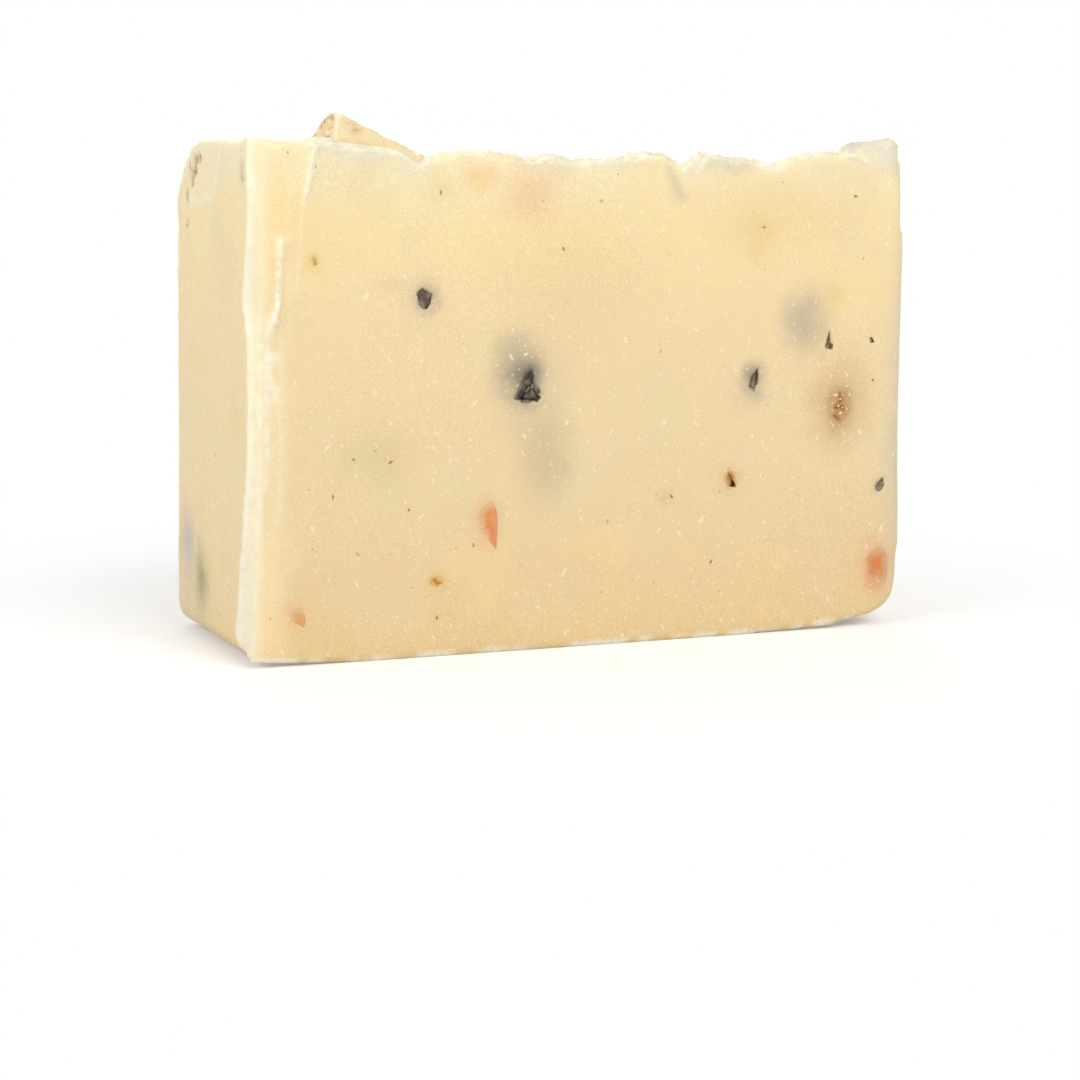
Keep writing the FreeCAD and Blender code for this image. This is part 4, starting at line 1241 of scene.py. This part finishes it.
def herb_material():
    """Dried herb: brown to olive."""
    material, tree, shader, places = new_material("Dried herb")
    mix = noise(tree, places, 3.0, 1.0).outputs["Fac"]
    colour = blend(tree, step_between(tree, mix, 0.4, 0.6), *HERBS)
    fine = noise(tree, stretched(tree, places, (1.0, 1.0, 0.3)), 0.12, 2.0).outputs["Fac"]
    colour = blend(tree, step_between(tree, fine, 0.4, 0.7, 0.0, 0.6), colour, HERB_FIBRE)
    roughened(tree, shader, places, 0.3, 0.5, 0.7)
    bumped(tree, shader, fine, 0.03)
    coat(tree, shader, colour)
    return material


def crumb_material():
    """Loose crumbs of pale soap."""
    material, tree, shader, places = new_material("Pale soap crumbs")
    mix = noise(tree, places, 1.6, 2.0).outputs["Fac"]
    colour = blend(tree, step_between(tree, mix, 0.35, 0.65), *CRUMBS)
    roughened(tree, shader, places, 0.3, 0.4, 0.6)
    bumped(tree, shader, noise(tree, places, 0.15, 2.0).outputs["Fac"], 0.03)
    coat(tree, shader, colour, 0.2, 0.3, 1.0)
    return material


def scatter_tree(name, material):
    """A node tree that puts a small lump on every point of a mesh, with its own turn and size."""
    tree = bpy.data.node_groups.new(name, "GeometryNodeTree")
    face = tree.interface
    face.new_socket("Geometry", in_out="INPUT", socket_type="NodeSocketGeometry")
    kinds = {"Lump size": "Vector", "Size spread": "Float", "Roughness": "Float", "Seed": "Int"}
    for label, kind in kinds.items():
        face.new_socket(label, in_out="INPUT", socket_type="NodeSocket" + kind)
    face.new_socket("Geometry", in_out="OUTPUT", socket_type="NodeSocketGeometry")
    given = tree.nodes.new("NodeGroupInput").outputs
    lump = add(tree, "GeometryNodeMeshUVSphere", {"Radius": 0.5, "Segments": 7, "Rings": 5})
    here = add(tree, "GeometryNodeInputPosition").outputs[0]
    bumps = add(tree, "ShaderNodeTexNoise", {"Vector": here, "Scale": 2.3, "Detail": 1.0})
    bumps = vector(tree, "SUBTRACT", {0: bumps.outputs["Color"], 1: (0.5, 0.5, 0.5)})
    bumps = vector(tree, "SCALE", {0: bumps, "Scale": given["Roughness"]})
    lump = add(tree, "GeometryNodeSetPosition", {"Geometry": lump.outputs["Mesh"], "Offset": bumps})
    turn = add(tree, "FunctionNodeRandomValue", {"Seed": given["Seed"]}, data_type="FLOAT_VECTOR")
    turn.inputs[0].default_value = (0.0, 0.0, 0.0)
    turn.inputs[1].default_value = (math.tau, math.tau, math.tau)
    spread = add(tree, "FunctionNodeRandomValue", {"Seed": given["Seed"]}, data_type="FLOAT")
    tree.links.new(given["Size spread"], spread.inputs[2])
    spread.inputs[3].default_value = 1.0
    own = add(tree, "GeometryNodeInputNamedAttribute", data_type="FLOAT")
    own.inputs["Name"].default_value = "size"
    size = maths(tree, "MULTIPLY", spread.outputs[1], own.outputs[0])
    size = vector(tree, "SCALE", {0: given["Lump size"], "Scale": size})
    put = add(tree, "GeometryNodeInstanceOnPoints", {
        "Points": given["Geometry"], "Instance": lump.outputs[0], "Rotation": turn.outputs[0],
        "Scale": size})
    real = add(tree, "GeometryNodeRealizeInstances", {"Geometry": put.outputs[0]})
    dressed = add(tree, "GeometryNodeSetMaterial", {"Geometry": real.outputs[0], "Material": material})
    add(tree, "NodeGroupOutput", {"Geometry": dressed.outputs[0]})
    return tree


def scattered(name, points, sizes, tree, settings):
    """The plain mesh, in millimetres, of the lumps that a tree puts on points."""
    mesh = bpy.data.meshes.new(name)
    mesh.from_pydata([tuple(point) for point in points], [], [])
    attribute = mesh.attributes.new("size", "FLOAT", "POINT")
    attribute.data.foreach_set("value", np.array(sizes, np.float32))
    piece = link(name + "_points", mesh)
    modifier = piece.modifiers.new("Scatter", "NODES")
    modifier.node_group = tree
    for item in tree.interface.items_tree:
        if item.in_out == "INPUT" and item.name in settings:
            modifier[item.identifier] = settings[item.name]
    return result_of(piece)


def on_front(places, sink):
    """Points on the front from X and Z, sunk into it."""
    x, z = np.array(places).T
    y = FRONT + front_wave(x, z) + sink
    return np.stack([x, y, z], axis=1)


def picked(places, count, seed):
    """Some of the places, at random."""
    return np.random.default_rng(seed).choice(places, size=count, replace=False)


def crumb_points(body):
    """Where crumbs lie, and their sizes."""
    places, facing = places_of(body.data) / MM, facing_of(body.data)
    x, y, z = places.T
    by_the_trim = (x < -40) & (y < FRONT + 1.2) & (z > 3)
    on_the_lip = (y < FRONT + 1.4) & (z > along_line(x, CREST_LINE) - 1.0) & (x > -37)
    on_the_top = (facing[:, 2] > 0.5) & (z > 57)
    by_the_foot = (y < FRONT + 0.4) & (z > 0.5) & (z < 1.4)
    over_the_front = (y < FRONT + 0.3) & (z > 2) & (x > -42)
    by_the_corner = (x < LEFT + 1.2) & (z > 54)
    groups = [
        (0.42, 0.75, on_front(FRONT_CRUMBS, 0.02)),
        (0.22, 0.50, picked(places[by_the_trim], 60, 131)),
        (0.50, 0.95, on_front(CHIP_CRUMBS, 0.06)),
        (0.20, 0.60, picked(places[on_the_lip], 300, 132)),
        (0.22, 0.60, picked(places[on_the_top], 150, 133)),
        (0.20, 0.38, picked(places[by_the_foot], 26, 134)),
        (0.12, 0.26, picked(places[over_the_front], 90, 135)),
        (0.22, 0.50, picked(places[by_the_corner], 40, 136)),
    ]
    random = np.random.default_rng(7)
    sizes = [random.uniform(small, large, len(points)) for small, large, points in groups]
    return np.concatenate([points for _, _, points in groups]), np.concatenate(sizes)


def camera():
    """The camera at the photograph's place."""
    turn, dip, roll = (math.radians(angle) for angle in (CAMERA_TURN, CAMERA_DIP, CAMERA_ROLL))
    ahead = Vector((-math.sin(turn) * math.cos(dip), math.cos(turn) * math.cos(dip), -math.sin(dip)))
    right = Vector((math.cos(turn), math.sin(turn), 0))
    up = right.cross(ahead)
    rolled_right = right * math.cos(roll) + up * math.sin(roll)
    rolled_up = up * math.cos(roll) - right * math.sin(roll)
    data = bpy.data.cameras.new("Camera")
    data.sensor_width = SENSOR
    data.lens = FOCAL_SHARE * SENSOR
    data.clip_start, data.clip_end = 10 * MM, 100000 * MM
    piece = bpy.data.objects.new("Camera", data)
    axes = Matrix((rolled_right, rolled_up, -ahead)).transposed()
    piece.matrix_world = Matrix.Translation(Vector(CAMERA_PLACE) * MM) @ axes.to_4x4()
    bpy.context.scene.collection.objects.link(piece)
    bpy.context.scene.camera = piece


def lamps():
    """Large soft lamps, each as bright as it has to be for its share of light on the bar."""
    middle = Vector((0, 0, RIM / 2))
    for lamp in LAMPS:
        place = Vector((lamp.x, lamp.y, lamp.z))
        data = bpy.data.lights.new(lamp.name, "AREA")
        data.size = lamp.side * MM
        data.energy = lamp.light * ((place - middle).length * MM) ** 2 * math.pi ** 2
        piece = bpy.data.objects.new(lamp.name, data)
        piece.location = place * MM
        piece.rotation_mode = "QUATERNION"
        piece.rotation_quaternion = (middle - place).to_track_quat("-Z", "Y")
        bpy.context.scene.collection.objects.link(piece)


def seen_share(tree):
    """1 for camera, glossy and transmission rays, which see the white background."""
    path = add(tree, "ShaderNodeLightPath").outputs
    seen = maths(tree, "MAXIMUM", path["Is Camera Ray"], path["Is Glossy Ray"])
    return maths(tree, "MAXIMUM", seen, path["Is Transmission Ray"])


def world():
    """White where it is seen, and a plain soft light from all round."""
    scene_world = bpy.data.worlds.new("Studio")
    tree = empty_tree(scene_world)
    light = add(tree, "ShaderNodeBackground", {"Color": (1, 1, 1, 1), "Strength": WORLD_LIGHT})
    white = add(tree, "ShaderNodeBackground", {"Color": (1, 1, 1, 1), "Strength": 1.0})
    both = add(tree, "ShaderNodeMixShader", {0: seen_share(tree), 1: light.outputs[0], 2: white.outputs[0]})
    add(tree, "ShaderNodeOutputWorld", {"Surface": both.outputs[0]})
    bpy.context.scene.world = scene_world


def floor_material():
    """A pale floor that shows the bar's shadow near it and is white further out."""
    material = bpy.data.materials.new("White table")
    tree = empty_tree(material)
    own = add(tree, "ShaderNodeTexCoord").outputs["Object"]
    far = add(tree, "ShaderNodeVectorMath", {0: own}, operation="LENGTH").outputs["Value"]
    far = step_between(tree, far, FLOOR_NEAR * MM, FLOOR_FAR * MM)
    matt = add(tree, "ShaderNodeBsdfDiffuse", {"Color": (0.80, 0.80, 0.80, 1)})
    lift = add(tree, "ShaderNodeEmission", {"Strength": maths(tree, "MULTIPLY", seen_share(tree), 0.25)})
    near = add(tree, "ShaderNodeAddShader", {0: matt.outputs[0], 1: lift.outputs[0]})
    white = add(tree, "ShaderNodeEmission", {"Strength": 1.0})
    share = maths(tree, "MULTIPLY", far, seen_share(tree))
    both = add(tree, "ShaderNodeMixShader", {0: share, 1: near.outputs[0], 2: white.outputs[0]})
    add(tree, "ShaderNodeOutputMaterial", {"Surface": both.outputs[0]})
    return material


def floor():
    """The table that the bar stands on."""
    half = FLOOR_SIDE * MM / 2
    corners = [(-half, -half, 0), (half, -half, 0), (half, half, 0), (-half, half, 0)]
    mesh = bpy.data.meshes.new("Floor")
    mesh.from_pydata(corners, [], [(0, 1, 2, 3)])
    mesh.materials.append(floor_material())
    link("Floor", mesh)


SOLID_CREST = []
SOAP_COLOUR = soap_colour_group()
CHIP_MATERIALS = {
    "charcoal_soap": chip_material("Charcoal soap", (118, 108, 93), (70, 64, 55), (20, 17, 15), 0.40),
    "grey_soap": chip_material("Grey soap", (140, 122, 84), (100, 84, 54), (44, 33, 18), 0.40),
    "coral_soap": chip_material("Coral soap", (230, 134, 76), (226, 122, 64), (222, 130, 82), 0.45),
    "pink_soap": chip_material("Pink soap", (236, 176, 150), (228, 160, 134), (206, 136, 112), 0.45),
    "amber_soap": chip_material("Amber soap", (226, 176, 96), (212, 154, 70), (172, 110, 30), 0.40),
    "brown_soap": chip_material("Brown soap", (208, 156, 96), (182, 128, 72), (150, 100, 54), 0.34),
    "yellow_soap": chip_material("Yellow soap", (234, 196, 110), (224, 180, 92), (196, 146, 66), 0.45),
    "olive_soap": chip_material("Olive soap", (176, 160, 104), (160, 146, 92), (132, 118, 72), 0.45),
    "seed": chip_material("Dark seed", (236, 176, 96), (184, 112, 42), (14, 6, 3), 0.35),
}

world()
lamps()
floor()
camera()

body = finished("soap_body", body_mesh(), soap_material(), "soap", "soap_block")
finished("tan_chunk", chunk_mesh(), chunk_material(), "chunk_soap", "top_chunk")
for chip_name, chip_look in CHIP_LOOKS.items():
    finished(chip_name, chip_mesh(chip_look), CHIP_MATERIALS[chip_look.slot], chip_look.slot, chip_look.node)
for node_name, slot_name in BURIED_CHIPS.items():
    node_mesh = frame["nodes"][node_name].data
    node_mesh.materials.clear()
    node_mesh.materials.append(CHIP_MATERIALS[slot_name])

crumb_skin = crumb_material()
crumb_tree = scatter_tree("Crumbs", crumb_skin)
crumbs = scattered("crumbs", *crumb_points(body), crumb_tree, CRUMB_LUMPS)
finished("soap_crumbs", crumbs, crumb_skin, "soap")

herb_skin = herb_material()
herb_tree = scatter_tree("Flecks", herb_skin)
fleck_points = on_front(FLECK_PLACES + DOT_PLACES, 0.03)
fleck_sizes = [FLECK_SIZE] * len(FLECK_PLACES) + [DOT_SIZE] * len(DOT_PLACES)
slivers = scattered("slivers", fleck_points, fleck_sizes, herb_tree, HERB_LUMPS)
finished("herb_slivers", slivers, herb_skin, "herb", "herb_flecks")

bpy.context.scene.view_settings.view_transform = "Standard"
